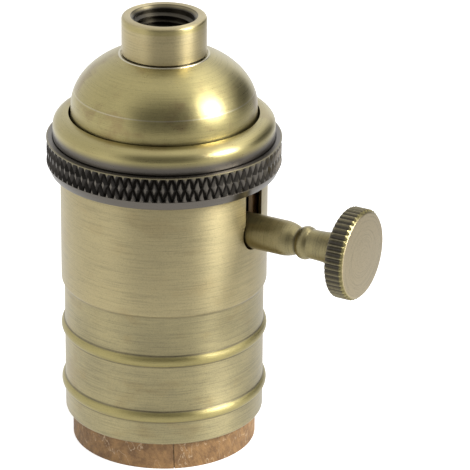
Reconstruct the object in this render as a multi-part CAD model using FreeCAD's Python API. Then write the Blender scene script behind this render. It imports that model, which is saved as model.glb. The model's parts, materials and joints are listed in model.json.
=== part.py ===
import FreeCAD, Part
import math
import os

Vector = FreeCAD.Vector

# A brass lamp socket with a turn knob, in millimetres.
# The origin lies on the socket's axis, in the plane of the liner's lower rim, which is
# what the socket stands on. +Z points to the threaded neck and +X along the knob.

# Clearances between pieces
HAND_FIT = 0.05
RUNNING_FIT = 0.05
LIP_GAP = 0.4
MOVING_GAP = 0.3
COVER_GAP = 0.1
MOUTH_GAP = 0.65
LINER_GAP = 0.73
HOUSING_GAP = 0.45

# Screw shell for the bulb's base, with a flange riveted under the housing
BULB_RADIUS = 13.3
THREAD_LENGTH = 19.9
THREAD_END_INSET = 0.9
SCREW_SHELL_WALL = 0.3
SCREW_SHELL_CUP = 5.6
SCREW_SHELL_FLARE = 0.6
SCREW_SHELL_HOLE_GAP = 0.6

# Insulating liner, a tube rolled from fibreboard with a butt seam
LINER_WALL = 0.65
LINER_PROTRUSION = 5.02
SEAM_WIDTH = 0.15
SEAM_ANGLE = -53.5

# Shell, drawn from brass sheet with two rolled beads and a step
SHELL_HEIGHT = 46.48
SHELL_WALL = 0.5
STEP_HEIGHT = 23.7
STEP_RUN = 0.45
STEP_OUT = 0.5
BEAD_HEIGHTS = (5.15, 15.3)
BEAD_HALF_WIDTH = 1.0
BEAD_RISE = 0.58

# Switch housing, moulded, hung in the shell by its top flange
FLANGE_THICKNESS = 1.0
FLANGE_INSET = 0.1
HOUSING_FLOOR = 2.3
END_WALL = 5.9
BLADE_ROOM = 1.7
ROTOR_ROOM = 0.7
BOSS_RADIUS = 5.0
BOSS_HEIGHT = 1.5
RECESS_DEPTH = 3.4

# Cover plate over the switch cavity, and its two screws
COVER_SINK = 2.0
COVER_THICKNESS = 1.6
COVER_END_INSET = 2.2
COVER_LAP = 1.2
COVER_RIM = 1.1
COVER_SCREW_INSET = 4.0
COVER_SCREW_RADIUS = 1.1
COVER_SCREW_LENGTH = 6.0
COVER_SCREW_HEAD = 1.9
COVER_SCREW_HEAD_HEIGHT = 1.1

# Dome cap, spun from brass sheet, with a flange under the ring's ledge
CAP_WALL = 0.6
CAP_FLANGE = 0.8
CAP_STRAIGHT = 6.8
CAP_CROWN = 10.2
CAP_SEAT_LAND = 0.52
CAP_SEAT_WALL = 0.8

# Neck collar, turned, staked into the cap, threaded M10 x 1
NECK_THREAD_MINOR = 4.46
NECK_HEIGHT = 6.6
NECK_EDGE = 0.5
NECK_GROOVE_DEPTH = 0.35
NECK_GROOVE_HEIGHT = 0.3
NECK_MOUTH_CHAMFER = 0.94
NECK_SHOULDER = 1.1
SPIGOT_WALL = 1.44
STAKE_LAP = 1.0
STAKE_HEIGHT = 0.8

# Union ring, turned, with a diamond knurl round its rim
RING_SKIRT = 5.0
RING_FOOT = 1.57
RING_CONE_HEIGHT = 1.5
RING_WALL = 2.22
KNURL_SINK = 0.05
KNURL_DEPTH = 0.5
KNURL_COUNT = 84
KNURL_ROWS = 2
KNURL_ROW = 2.0
KNURL_BACKING = 0.3
RIM_LAND = 0.17
RIM_CHAMFER = 0.12
SHOULDER_SETBACK = 1.1
SHOULDER_GROOVE = 0.2
SHOULDER_WIDTH = 2.6
SHOULDER_WALL = 2.1
SHOULDER_CROWN = 1.95

# Rivets of the screw shell, and the centre rivet
RIVET_X = 3.6
RIVET_Y = 5.8
RIVET_RADIUS = 0.9
RIVET_HEAD_RADIUS = 1.25
RIVET_HEAD = 0.6
CENTRE_RIVET_RADIUS = 1.2
CENTRE_RIVET_HEAD_RADIUS = 2.1
CENTRE_RIVET_HEAD = 0.7

# Centre contact, a bronze spring tongue
TONGUE_THICKNESS = 0.5
TONGUE_WIDTH = 5.0
TONGUE_BACK = 5.0
TONGUE_FRONT = 3.0
TONGUE_DROP = 3.6
TONGUE_BEND = 0.35

# Terminals, folded from sheet, with one binding screw each
PLATE_THICKNESS = 0.6
PLATE_HALF_WIDTH = 4.0
PLATE_SIDE_ROOM = 0.6
PLATE_FOOT_GAP = 1.2
BLADE_MARGIN = 0.5
BLADE_TIP_BELOW_AXIS = 2.8
STRAP_WIDTH = 3.0
SCREW_ABOVE_AXIS = 3.1
BINDING_RADIUS = 1.6
BINDING_HEAD_RADIUS = 3.1
BINDING_HEAD = 1.9
BINDING_SHORT = 0.9
SLOT_WIDTH = 0.7
SLOT_DEPTH = 0.7

# Knob, turned, with a straight-knurled disc
KNOB_DROP = 11.1
STEM_RADIUS = 2.91
STEM_PROUD = 6.62
STEM_CHAMFER = 0.3
WAIST_RADIUS = 2.15
OGIVE_LENGTH = 1.85
BEAD_LENGTH = 2.2
BEAD_RADIUS = 2.78
FLARE_LENGTH = 6.12
FLARE_NECK_RADIUS = 2.45
FLARE_RADIUS = 3.2
DISC_THICKNESS = 3.27
DISC_RADIUS = 7.57
DISC_BACK_CHAMFER = 0.3
DISC_FACE_CHAMFER = 0.55
TOOTH_COUNT = 48
TOOTH_DEPTH = 0.42
TOOTH_LAND = 0.4
TOOTH_FLOOR = 0.2
KNOB_BORE_ROOM = 0.6
HOLE_GAP = 0.3
SLOT_HALF_WIDTH = 2.65

# Switch shaft with its bushing and clip
SHAFT_RADIUS = 1.5
SHAFT_FLAT = 1.1
SHAFT_REACH = 7.0
SHAFT_SEAT = 2.5
PIVOT_FLOOR = 0.3
BUSHING_RADIUS = 2.6
BUSHING_FLANGE_RADIUS = 3.6
BUSHING_FLANGE = 1.2
BUSHING_PROUD = 0.3
CLIP_RADIUS = 2.9
CLIP_THICKNESS = 0.7
CLIP_GROOVE = 0.3
CLIP_MOUTH = 1.9

# Rotor with its four-sided cam and its contact drum, and the bridge on the drum
HUB_RADIUS = 2.6
CAM_FLAT = 3.65
CAM_CORNER = 3.95
CAM_START = -5.0
CAM_LENGTH = 3.0
DRUM_RADIUS = 3.2
DRUM_START = -1.1
DRUM_END_GAP = 1.7
BRIDGE_INSET = 1.1
BRIDGE_WALL = 0.4
BRIDGE_MOUTH = 2.0
LOBE_RADIUS = 0.9
LOBE_RISE = 0.95

# Detent spring, an arched leaf above the cam
LEAF_THICKNESS = 0.4
LEAF_WIDTH = 2.8
LEAF_GAP = 0.07
LEAF_ARCH = 1.0
LEAF_GROOVE = 0.8

# Radii of the casing, from the bulb's thread outwards and then in to the cap
liner_bore = BULB_RADIUS + SCREW_SHELL_WALL + SCREW_SHELL_FLARE + MOUTH_GAP
liner_radius = liner_bore + LINER_WALL
lower_radius = liner_radius + LINER_GAP + SHELL_WALL
shell_radius = lower_radius + STEP_OUT
ring_bore = shell_radius + HAND_FIT
ring_radius = ring_bore + RING_WALL
knurl_tip = ring_radius - KNURL_SINK
knurl_root = knurl_tip - KNURL_DEPTH
shoulder_radius = ring_radius - SHOULDER_SETBACK
lip_bore = shoulder_radius - SHOULDER_WIDTH
cap_radius = lip_bore - LIP_GAP

# Radii of the neck, from its thread outwards
neck_mouth = NECK_THREAD_MINOR + NECK_MOUTH_CHAMFER
spigot_radius = NECK_THREAD_MINOR + SPIGOT_WALL
stake_radius = spigot_radius + STAKE_LAP
neck_radius = spigot_radius + NECK_SHOULDER
seat_radius = neck_radius + CAP_SEAT_LAND

# The switch, from the drum outwards to the cavity's sides
lobe_radius = DRUM_RADIUS + HAND_FIT + BRIDGE_WALL + LOBE_RISE
blade_place = lobe_radius + MOVING_GAP
cavity_half_width = blade_place + PLATE_THICKNESS + BLADE_ROOM
cover_half_width = cavity_half_width + COVER_LAP
floor_below_axis = lobe_radius + ROTOR_ROOM + CENTRE_RIVET_HEAD + PLATE_THICKNESS

# The housing, from the liner inwards
housing_radius = liner_bore - HOUSING_GAP
cavity_half_length = housing_radius - END_WALL
cover_half_length = housing_radius - COVER_END_INSET
cover_screw_place = housing_radius - COVER_SCREW_INSET
recess_back = housing_radius - RECESS_DEPTH
recess_half_width = PLATE_HALF_WIDTH + PLATE_SIDE_ROOM

# Places along the knob's axis
clip_start = cavity_half_length - BUSHING_FLANGE - MOVING_GAP - CLIP_THICKNESS
rotor_start = MOVING_GAP - cavity_half_length
rotor_end = clip_start - HAND_FIT
drum_end = clip_start - DRUM_END_GAP
bridge_start = DRUM_START + BRIDGE_INSET
bridge_end = drum_end - BRIDGE_INSET
blade_start = bridge_start - BLADE_MARGIN
blade_end = bridge_end + BLADE_MARGIN
stem_start = housing_radius + BUSHING_PROUD + MOVING_GAP
stem_end = shell_radius + STEM_PROUD
disc_back = stem_end + OGIVE_LENGTH + BEAD_LENGTH + FLARE_LENGTH

# Heights
shell_foot = LINER_PROTRUSION
shell_top = shell_foot + SHELL_HEIGHT
flange_top = shell_top + FLANGE_THICKNESS
ledge = flange_top + CAP_FLANGE
axis_height = shell_top - KNOB_DROP
cavity_floor = axis_height - floor_below_axis
housing_bottom = cavity_floor - HOUSING_FLOOR
cover_bottom = shell_top - COVER_SINK
blade_top = cover_bottom - COVER_GAP
crown_base = flange_top + CAP_STRAIGHT
cap_seat = crown_base + CAP_CROWN * math.sqrt(1 - (seat_radius / cap_radius) ** 2)


class Outline:
    """A closed outline in the XZ plane, drawn edge by edge."""

    def __init__(self, x, z):
        self.start = Vector(x, 0, z)
        self.here = self.start
        self.edges = []

    def to(self, x, z):
        """A straight edge to a point."""
        end = Vector(x, 0, z)
        self.edges.append(Part.makeLine(self.here, end))
        self.here = end
        return self

    def arc(self, via, end):
        """A round edge through one point to another."""
        via = Vector(via[0], 0, via[1])
        end = Vector(end[0], 0, end[1])
        self.edges.append(Part.Arc(self.here, via, end).toShape())
        self.here = end
        return self

    def ellipse(self, centre, wide, high, end):
        """Part of an ellipse's upper right quarter, to a point on it."""
        middle = Vector(centre[0], 0, centre[1])
        side = middle + Vector(wide, 0, 0)
        top = middle + Vector(0, 0, high)
        end = Vector(end[0], 0, end[1])
        turned = [
            math.atan2((point.z - middle.z) / high, (point.x - middle.x) / wide)
            for point in (self.here, end)
        ]
        curve = Part.Ellipse(side, top, middle)
        if high > wide:
            curve = Part.Ellipse(top, side, middle)
            turned = [math.pi / 2 - angle for angle in turned]
        self.edges.append(Part.ArcOfEllipse(curve, min(turned), max(turned)).toShape())
        self.here = end
        return self

    def face(self):
        """The closed face inside the outline."""
        if self.here.distanceToPoint(self.start) > 1e-7:
            self.to(self.start.x, self.start.z)
        return Part.Face(Part.Wire(Part.__sortEdges__(self.edges)))

    def turned(self):
        """The solid of revolution about the socket's axis, with x as the radius."""
        return self.face().revolve(Vector(), Vector(0, 0, 1), 360)

    def turned_on_knob_axis(self):
        """The solid of revolution about the knob's axis, with z as the radius."""
        solid = self.face().revolve(Vector(), Vector(1, 0, 0), 360)
        return on_knob_axis(solid)


def on_knob_axis(shape):
    """Lift a shape from the X axis to the knob's axis."""
    shape.translate(Vector(0, 0, axis_height))
    return shape


def tube(outer, inner, bottom, top):
    """An upright tube on the socket's axis."""
    height = top - bottom
    base = Vector(0, 0, bottom)
    return Part.makeCylinder(outer, height, base).cut(Part.makeCylinder(inner, height, base))


def rod(radius, start, direction, length):
    """A round rod from a point along a direction."""
    return Part.makeCylinder(radius, length, Vector(*start), Vector(*direction))


def shaft_rod(radius, start, end):
    """A round rod on the knob's axis between two places along it."""
    return rod(radius, (start, 0, axis_height), (1, 0, 0), end - start)


def block(x_range, y_range, z_range):
    """A box between three pairs of limits."""
    low = [min(pair) for pair in (x_range, y_range, z_range)]
    high = [max(pair) for pair in (x_range, y_range, z_range)]
    sides = [b - a for a, b in zip(low, high)]
    return Part.makeBox(*sides, Vector(*low))


def save(name, shape):
    """Write one piece, which must be whole, to its own file."""
    shape = shape.removeSplitter()
    os.makedirs("parts", exist_ok=True)
    shape.exportStep("parts/" + name + ".step")
    print(name, len(shape.Solids), "solid", "valid" if shape.isValid() else "NOT VALID")


def knob_slot(reach):
    """The cutter for the stem's hole and the slot above it, which the bare shaft slides down."""
    hole = rod(STEM_RADIUS + HOLE_GAP, (0, 0, axis_height), (1, 0, 0), reach)
    slot = block((0, reach), (-SLOT_HALF_WIDTH, SLOT_HALF_WIDTH), (axis_height, flange_top))
    return hole.fuse(slot)


def insulating_liner():
    """The fibre tube inside the shell, with its seam and the slot for the stem."""
    wall = tube(liner_radius, liner_bore, 0, shell_top)
    seam = block((0, 2 * liner_radius), (-SEAM_WIDTH / 2, SEAM_WIDTH / 2), (0, shell_top))
    seam.rotate(Vector(), Vector(0, 0, 1), SEAM_ANGLE)
    return wall.cut(seam).cut(knob_slot(2 * liner_radius))


def shell():
    """The drawn brass body: rolled-in foot, two beads, a step and the slot."""
    rim_bore = liner_radius + HAND_FIT
    bend = SHELL_WALL
    slope = bend * math.sqrt(0.5)
    step = shell_foot + STEP_HEIGHT
    half = BEAD_HALF_WIDTH
    inner_half = half - SHELL_WALL / 2
    inner = lower_radius - SHELL_WALL
    line = Outline(rim_bore, shell_foot).to(lower_radius - bend, shell_foot)
    line.arc(
        (lower_radius - bend + slope, shell_foot + bend - slope),
        (lower_radius, shell_foot + bend),
    )
    for height in BEAD_HEIGHTS:
        middle = shell_foot + height
        line.to(lower_radius, middle - half)
        line.arc((lower_radius + BEAD_RISE, middle), (lower_radius, middle + half))
    line.to(lower_radius, step - STEP_RUN)
    line.arc(
        (lower_radius + (shell_radius - lower_radius) * 0.7, step - STEP_RUN * 0.7),
        (shell_radius, step),
    )
    line.to(shell_radius, shell_top).to(shell_radius - SHELL_WALL, shell_top)
    line.to(shell_radius - SHELL_WALL, step + SHELL_WALL)
    line.to(inner, step + SHELL_WALL - STEP_RUN)
    for height in reversed(BEAD_HEIGHTS):
        middle = shell_foot + height
        line.to(inner, middle + inner_half)
        line.arc((inner + BEAD_RISE, middle), (inner, middle - inner_half))
    line.to(inner, shell_foot + bend).to(rim_bore, shell_foot + bend)
    return line.turned().cut(knob_slot(2 * shell_radius))


def knurl_band(bottom):
    """Diamond pyramids round a disc, whose tips and valleys alternate along every row.

    Two families of slanting grooves cross in the valleys. Each square between four
    neighbouring points is split along its groove, from one valley to the other.
    """
    def is_tip(column, row):
        return (column + row) % 2 == 1

    def point(column, row):
        radius = knurl_tip if is_tip(column, row) else knurl_root
        angle = math.pi * column / KNURL_COUNT
        height = bottom + row * KNURL_ROW
        return Vector(radius * math.cos(angle), radius * math.sin(angle), height)

    def facet(points):
        return Part.Face(Part.makePolygon(points + [points[0]]))

    columns = range(2 * KNURL_COUNT)
    facets = []
    for row in range(KNURL_ROWS):
        for column in columns:
            square = [
                point(column, row),
                point(column + 1, row),
                point(column + 1, row + 1),
                point(column, row + 1),
            ]
            if is_tip(column, row):
                square = square[1:] + square[:1]
            facets.append(facet([square[0], square[1], square[2]]))
            facets.append(facet([square[2], square[3], square[0]]))
    for row in (0, KNURL_ROWS):
        facets.append(facet([point(column, row) for column in columns]))
    skin = Part.makeShell(facets)
    skin.sewShape()
    return Part.Solid(skin)


def union_ring():
    """The turned ring that clamps the cap to the shell, with its diamond knurl."""
    bottom = ledge - RING_SKIRT
    knurl_bottom = bottom + RING_CONE_HEIGHT
    knurl_top = knurl_bottom + KNURL_ROWS * KNURL_ROW
    rim_top = knurl_top + RIM_LAND
    core = knurl_root - KNURL_BACKING
    wall_top = rim_top + SHOULDER_WALL
    line = Outline(ring_bore, bottom).to(ring_bore + RING_FOOT, bottom)
    line.to(ring_radius, knurl_bottom).to(core, knurl_bottom).to(core, knurl_top)
    line.to(ring_radius, knurl_top).to(ring_radius, rim_top - RIM_CHAMFER)
    line.to(ring_radius - RIM_CHAMFER, rim_top)
    line.to(shoulder_radius + SHOULDER_GROOVE, rim_top)
    line.to(shoulder_radius - SHOULDER_GROOVE, rim_top - SHOULDER_GROOVE)
    line.to(shoulder_radius, rim_top + SHOULDER_GROOVE).to(shoulder_radius, wall_top)
    line.ellipse(
        (lip_bore, wall_top),
        shoulder_radius - lip_bore,
        SHOULDER_CROWN,
        (lip_bore, wall_top + SHOULDER_CROWN),
    )
    line.to(lip_bore, ledge).to(ring_bore, ledge)
    band = knurl_band(knurl_bottom)
    bore = Part.makeCylinder(core - KNURL_BACKING, 2 * RING_SKIRT, Vector(0, 0, bottom))
    return line.turned().fuse(band.cut(bore))


def dome_cap():
    """The spun cap: clamping flange, straight neck through the lip, elliptic crown."""
    inner_wide = cap_radius - CAP_WALL
    inner_high = CAP_CROWN - CAP_WALL
    under_seat = cap_seat - CAP_SEAT_WALL
    under_share = (under_seat - crown_base) / inner_high
    under_radius = inner_wide * math.sqrt(1 - under_share ** 2)
    hole = spigot_radius + HAND_FIT
    line = Outline(shell_radius, flange_top).to(shell_radius, ledge)
    line.to(cap_radius, ledge).to(cap_radius, crown_base)
    line.ellipse((0, crown_base), cap_radius, CAP_CROWN, (seat_radius, cap_seat))
    line.to(hole, cap_seat).to(hole, under_seat).to(under_radius, under_seat)
    line.ellipse((0, crown_base), inner_wide, inner_high, (inner_wide, crown_base))
    line.to(inner_wide, flange_top)
    return line.turned()


def neck_collar():
    """The turned collar, with a mouth chamfer and its staked end under the cap."""
    top = cap_seat + NECK_HEIGHT
    groove = neck_radius - NECK_GROOVE_DEPTH
    stake_top = cap_seat - CAP_SEAT_WALL
    stake_bottom = stake_top - STAKE_HEIGHT
    mouth_depth = neck_mouth - NECK_THREAD_MINOR
    round_over = NECK_EDGE * (1 - math.sqrt(0.5))
    line = Outline(NECK_THREAD_MINOR, stake_bottom)
    line.to(stake_radius - STAKE_HEIGHT / 2, stake_bottom).to(stake_radius, stake_top)
    line.to(spigot_radius, stake_top).to(spigot_radius, cap_seat).to(groove, cap_seat)
    line.to(groove, cap_seat + NECK_GROOVE_HEIGHT)
    line.to(neck_radius, cap_seat + NECK_GROOVE_HEIGHT).to(neck_radius, top - NECK_EDGE)
    line.arc((neck_radius - round_over, top - round_over), (neck_radius - NECK_EDGE, top))
    line.to(neck_mouth, top).to(NECK_THREAD_MINOR, top - mouth_depth)
    return line.turned()


def switch_housing():
    """The moulded housing: clamping flange, switch cavity, boss and terminal recesses."""
    flange = Part.makeCylinder(
        shell_radius - FLANGE_INSET, FLANGE_THICKNESS, Vector(0, 0, shell_top)
    )
    body = Part.makeCylinder(
        housing_radius, shell_top - housing_bottom, Vector(0, 0, housing_bottom)
    )
    boss = rod(BOSS_RADIUS, (0, 0, housing_bottom), (0, 0, -1), BOSS_HEIGHT)
    housing = body.fuse(flange).fuse(boss)
    cavity = block(
        (-cavity_half_length, cavity_half_length),
        (-cavity_half_width, cavity_half_width),
        (cavity_floor, flange_top),
    )
    rebate = cover_blank(COVER_GAP, cover_bottom, flange_top)
    housing = housing.cut(cavity).cut(rebate)
    for side in (-1, 1):
        housing = housing.cut(terminal_recess(side))
        housing = housing.cut(
            rod(
                BINDING_RADIUS + HAND_FIT,
                (0, 0, axis_height + SCREW_ABOVE_AXIS),
                (0, side, 0),
                housing_radius,
            )
        )
        housing = housing.cut(
            rod(
                COVER_SCREW_RADIUS + HAND_FIT,
                (side * cover_screw_place, 0, cover_bottom),
                (0, 0, -1),
                COVER_SCREW_LENGTH,
            )
        )
        housing = housing.cut(
            rod(
                RIVET_RADIUS + HAND_FIT,
                (side * RIVET_X, side * RIVET_Y, housing_bottom),
                (0, 0, 1),
                HOUSING_FLOOR,
            )
        )
    housing = housing.cut(line_blade_notch()).cut(neutral_strap(HAND_FIT))
    housing = housing.cut(leaf_groove())
    centre_hole = rod(
        CENTRE_RIVET_RADIUS + HAND_FIT,
        (0, 0, housing_bottom - BOSS_HEIGHT),
        (0, 0, 1),
        BOSS_HEIGHT + HOUSING_FLOOR,
    )
    bushing_hole = shaft_rod(BUSHING_RADIUS + HAND_FIT, 0, shell_radius)
    pivot_end = -(cavity_half_length + SHAFT_SEAT + PIVOT_FLOOR)
    pivot_hole = shaft_rod(SHAFT_RADIUS + RUNNING_FIT, pivot_end, 0)
    return housing.cut(centre_hole).cut(bushing_hole).cut(pivot_hole)


def terminal_recess(side):
    """The upright channel for one terminal and its wire, open through the flange."""
    channel = block(
        (-recess_half_width, recess_half_width),
        (side * recess_back, side * shell_radius),
        (housing_bottom, flange_top),
    )
    height = flange_top - housing_bottom
    return channel.common(Part.makeCylinder(housing_radius, height, Vector(0, 0, housing_bottom)))


def cover_blank(gap, bottom, top):
    """The cover's outline, a plate with round ends, with a gap round it."""
    plate = block(
        (-cover_half_length - gap, cover_half_length + gap),
        (-cover_half_width - gap, cover_half_width + gap),
        (bottom, top),
    )
    radius = housing_radius - COVER_RIM + gap
    return plate.common(Part.makeCylinder(radius, top - bottom, Vector(0, 0, bottom)))


def housing_cover():
    """The plate over the switch cavity, with its two screw holes."""
    top = cover_bottom + COVER_THICKNESS
    cover = cover_blank(0, cover_bottom, top)
    for side in (-1, 1):
        place = (side * cover_screw_place, 0, cover_bottom)
        cover = cover.cut(
            rod(COVER_SCREW_RADIUS + HAND_FIT, place, (0, 0, 1), COVER_THICKNESS)
        )
    return cover


def slotted_screw(radius, length, head_radius, head_height):
    """A screw along Z with its head above the origin and its shank below."""
    edge = head_height / 3
    head = Outline(0, 0).to(head_radius, 0).to(head_radius, head_height - edge)
    head.to(head_radius - edge, head_height).to(0, head_height)
    shank = Part.makeCylinder(radius, length, Vector(0, 0, -length))
    slot = block(
        (-head_radius, head_radius),
        (-SLOT_WIDTH / 2, SLOT_WIDTH / 2),
        (head_height - SLOT_DEPTH, head_height),
    )
    return head.turned().fuse(shank).cut(slot)


def cover_screws():
    """The two screws that hold the cover."""
    length = COVER_THICKNESS + COVER_SCREW_LENGTH - MOVING_GAP
    screws = []
    for side in (-1, 1):
        screw = slotted_screw(
            COVER_SCREW_RADIUS, length, COVER_SCREW_HEAD, COVER_SCREW_HEAD_HEIGHT
        )
        screw.rotate(Vector(), Vector(0, 0, 1), 35 * side)
        top = cover_bottom + COVER_THICKNESS
        screw.translate(Vector(side * cover_screw_place, 0, top))
        screws.append(screw)
    return Part.makeCompound(screws)


def terminal_screw(side):
    """The binding screw of one terminal, pointing into the housing."""
    plate_face = recess_back + PLATE_THICKNESS
    reach = plate_face - cavity_half_width - BINDING_SHORT
    screw = slotted_screw(BINDING_RADIUS, reach, BINDING_HEAD_RADIUS, BINDING_HEAD)
    screw.rotate(Vector(), Vector(0, 0, 1), 20 * side)
    screw.rotate(Vector(), Vector(1, 0, 0), -90 * side)
    screw.translate(Vector(0, side * plate_face, axis_height + SCREW_ABOVE_AXIS))
    return screw


def terminal_plate(side, bottom, top):
    """The flat of one terminal, against the back of its recess."""
    plate = block(
        (-PLATE_HALF_WIDTH, PLATE_HALF_WIDTH),
        (side * recess_back, side * (recess_back + PLATE_THICKNESS)),
        (bottom, top),
    )
    hole = rod(
        BINDING_RADIUS + HAND_FIT,
        (0, 0, axis_height + SCREW_ABOVE_AXIS),
        (0, side, 0),
        shell_radius,
    )
    return plate.cut(hole)


def line_blade_notch():
    """The notch in the cavity's wall that the line terminal folds over."""
    return block(
        (blade_start - HAND_FIT, blade_end + HAND_FIT),
        (0, recess_back),
        (blade_top - PLATE_THICKNESS - HAND_FIT, cover_bottom),
    )


def line_terminal():
    """The brass terminal: plate outside, fold over the wall, spring blade inside."""
    blade_x = (blade_start, blade_end)
    plate = terminal_plate(1, housing_bottom + PLATE_FOOT_GAP, blade_top)
    fold = block(
        blade_x,
        (blade_place, recess_back + PLATE_THICKNESS),
        (blade_top - PLATE_THICKNESS, blade_top),
    )
    blade = block(
        blade_x,
        (blade_place, blade_place + PLATE_THICKNESS),
        (axis_height - BLADE_TIP_BELOW_AXIS, blade_top),
    )
    return plate.fuse(fold).fuse(blade)


def load_blade():
    """The blade opposite, whose foot carries the current to the centre rivet."""
    blade_x = (blade_start, blade_end)
    blade = block(
        blade_x,
        (-blade_place - PLATE_THICKNESS, -blade_place),
        (cavity_floor, axis_height + BLADE_TIP_BELOW_AXIS),
    )
    foot = block(
        (-CENTRE_RIVET_HEAD_RADIUS, blade_end),
        (-blade_place - PLATE_THICKNESS, CENTRE_RIVET_HEAD_RADIUS),
        (cavity_floor, cavity_floor + PLATE_THICKNESS),
    )
    hole = rod(
        CENTRE_RIVET_RADIUS + HAND_FIT, (0, 0, cavity_floor), (0, 0, 1), PLATE_THICKNESS
    )
    return blade.fuse(foot).cut(hole)


def neutral_strap(gap):
    """The neutral terminal's strap, from the recess inwards under the housing."""
    left = -RIVET_X - STRAP_WIDTH / 2
    return block(
        (left - gap, left + STRAP_WIDTH + gap),
        (-recess_back - PLATE_THICKNESS, -RIVET_Y + STRAP_WIDTH / 2 + gap),
        (housing_bottom, housing_bottom + PLATE_THICKNESS),
    )


def neutral_terminal():
    """The nickelled terminal, whose strap is riveted to the screw shell."""
    plate = terminal_plate(-1, housing_bottom, blade_top)
    hole = rod(
        RIVET_RADIUS + HAND_FIT,
        (-RIVET_X, -RIVET_Y, housing_bottom),
        (0, 0, 1),
        PLATE_THICKNESS,
    )
    return plate.fuse(neutral_strap(0)).cut(hole)


def screw_shell():
    """The threaded cup for the bulb, plain here, with its flange and flared mouth."""
    outer = BULB_RADIUS + SCREW_SHELL_WALL
    thread_end = housing_bottom - SCREW_SHELL_CUP
    bottom = thread_end - THREAD_LENGTH
    flare = SCREW_SHELL_FLARE
    hole = BOSS_RADIUS + SCREW_SHELL_HOLE_GAP
    under = housing_bottom - SCREW_SHELL_WALL
    inset = THREAD_END_INSET
    line = Outline(hole, housing_bottom).to(outer - inset, housing_bottom)
    line.to(outer - inset, thread_end + inset).to(outer, thread_end)
    line.to(outer, bottom + flare).to(outer + flare, bottom)
    line.to(BULB_RADIUS + flare, bottom).to(BULB_RADIUS, bottom + flare)
    line.to(BULB_RADIUS, thread_end).to(BULB_RADIUS - inset, thread_end + inset)
    line.to(BULB_RADIUS - inset, under).to(hole, under)
    cup = line.turned()
    for side in (-1, 1):
        place = (side * RIVET_X, side * RIVET_Y, under)
        cup = cup.cut(rod(RIVET_RADIUS + HAND_FIT, place, (0, 0, 1), SCREW_SHELL_WALL))
    return cup


def rivet(radius, head_radius, head, bottom, top):
    """An upright rivet with a low head at each end of its grip."""
    edge = head / 3
    line = Outline(0, bottom - head).to(head_radius - edge, bottom - head)
    line.to(head_radius, bottom - edge).to(head_radius, bottom).to(radius, bottom)
    line.to(radius, top).to(head_radius, top).to(head_radius, top + edge)
    line.to(head_radius - edge, top + head).to(0, top + head)
    return line.turned()


def screw_shell_rivets():
    """The two rivets through the screw shell's flange and the housing's floor."""
    rivets = []
    for side in (-1, 1):
        one = rivet(
            RIVET_RADIUS,
            RIVET_HEAD_RADIUS,
            RIVET_HEAD,
            housing_bottom - SCREW_SHELL_WALL,
            cavity_floor,
        )
        one.translate(Vector(side * RIVET_X, side * RIVET_Y, 0))
        rivets.append(one)
    return Part.makeCompound(rivets)


def centre_rivet():
    """The rivet that joins the load blade to the centre contact."""
    return rivet(
        CENTRE_RIVET_RADIUS,
        CENTRE_RIVET_HEAD_RADIUS,
        CENTRE_RIVET_HEAD,
        housing_bottom - BOSS_HEIGHT - TONGUE_THICKNESS,
        cavity_floor + PLATE_THICKNESS,
    )


def centre_contact():
    """The bronze tongue: flat under the boss, folded back and sprung down."""
    top = housing_bottom - BOSS_HEIGHT
    low = top - TONGUE_DROP
    thick = TONGUE_THICKNESS
    line = Outline(TONGUE_FRONT, top).to(-TONGUE_BACK, top)
    line.arc(
        (-TONGUE_BACK - TONGUE_BEND - thick, top - thick - TONGUE_BEND),
        (-TONGUE_BACK, top - 2 * thick - 2 * TONGUE_BEND),
    )
    line.to(TONGUE_FRONT / 2, low).to(TONGUE_FRONT, low + thick)
    line.to(TONGUE_FRONT, low + 2 * thick).to(TONGUE_FRONT / 2, low + thick)
    line.to(-TONGUE_BACK, top - thick - 2 * TONGUE_BEND)
    line.arc(
        (-TONGUE_BACK - TONGUE_BEND, top - thick - TONGUE_BEND),
        (-TONGUE_BACK, top - thick),
    )
    line.to(TONGUE_FRONT, top - thick)
    tongue = line.face().extrude(Vector(0, TONGUE_WIDTH, 0))
    tongue.translate(Vector(0, -TONGUE_WIDTH / 2, 0))
    hole = rod(CENTRE_RIVET_RADIUS + HAND_FIT, (0, 0, top - thick), (0, 0, 1), thick)
    return tongue.cut(hole)


def shaft_bushing():
    """The brass bearing in the housing's wall, flanged inside the cavity."""
    inner = cavity_half_length - BUSHING_FLANGE
    end = housing_radius + BUSHING_PROUD
    flange = shaft_rod(BUSHING_FLANGE_RADIUS, inner, cavity_half_length)
    body = shaft_rod(BUSHING_RADIUS, inner, end)
    bore = shaft_rod(SHAFT_RADIUS + RUNNING_FIT, inner, end)
    return flange.fuse(body).cut(bore)


def flatted(radius, flat, start, end):
    """A rod on the knob's axis with one flat along it."""
    keep = block(
        (start, end), (-radius, radius), (axis_height - radius, axis_height + flat)
    )
    return shaft_rod(radius, start, end).common(keep)


def switch_shaft():
    """The spindle: two journals, a flat under the rotor and the clip's groove."""
    clip_end = clip_start + CLIP_THICKNESS
    pivot = shaft_rod(SHAFT_RADIUS, -cavity_half_length - SHAFT_SEAT, rotor_start)
    flat = flatted(SHAFT_RADIUS, SHAFT_FLAT, rotor_start, rotor_end)
    groove = shaft_rod(SHAFT_RADIUS - CLIP_GROOVE, rotor_end, clip_end)
    outer = shaft_rod(SHAFT_RADIUS, clip_end, stem_start + SHAFT_REACH)
    return pivot.fuse(flat).fuse(groove).fuse(outer)


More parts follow.
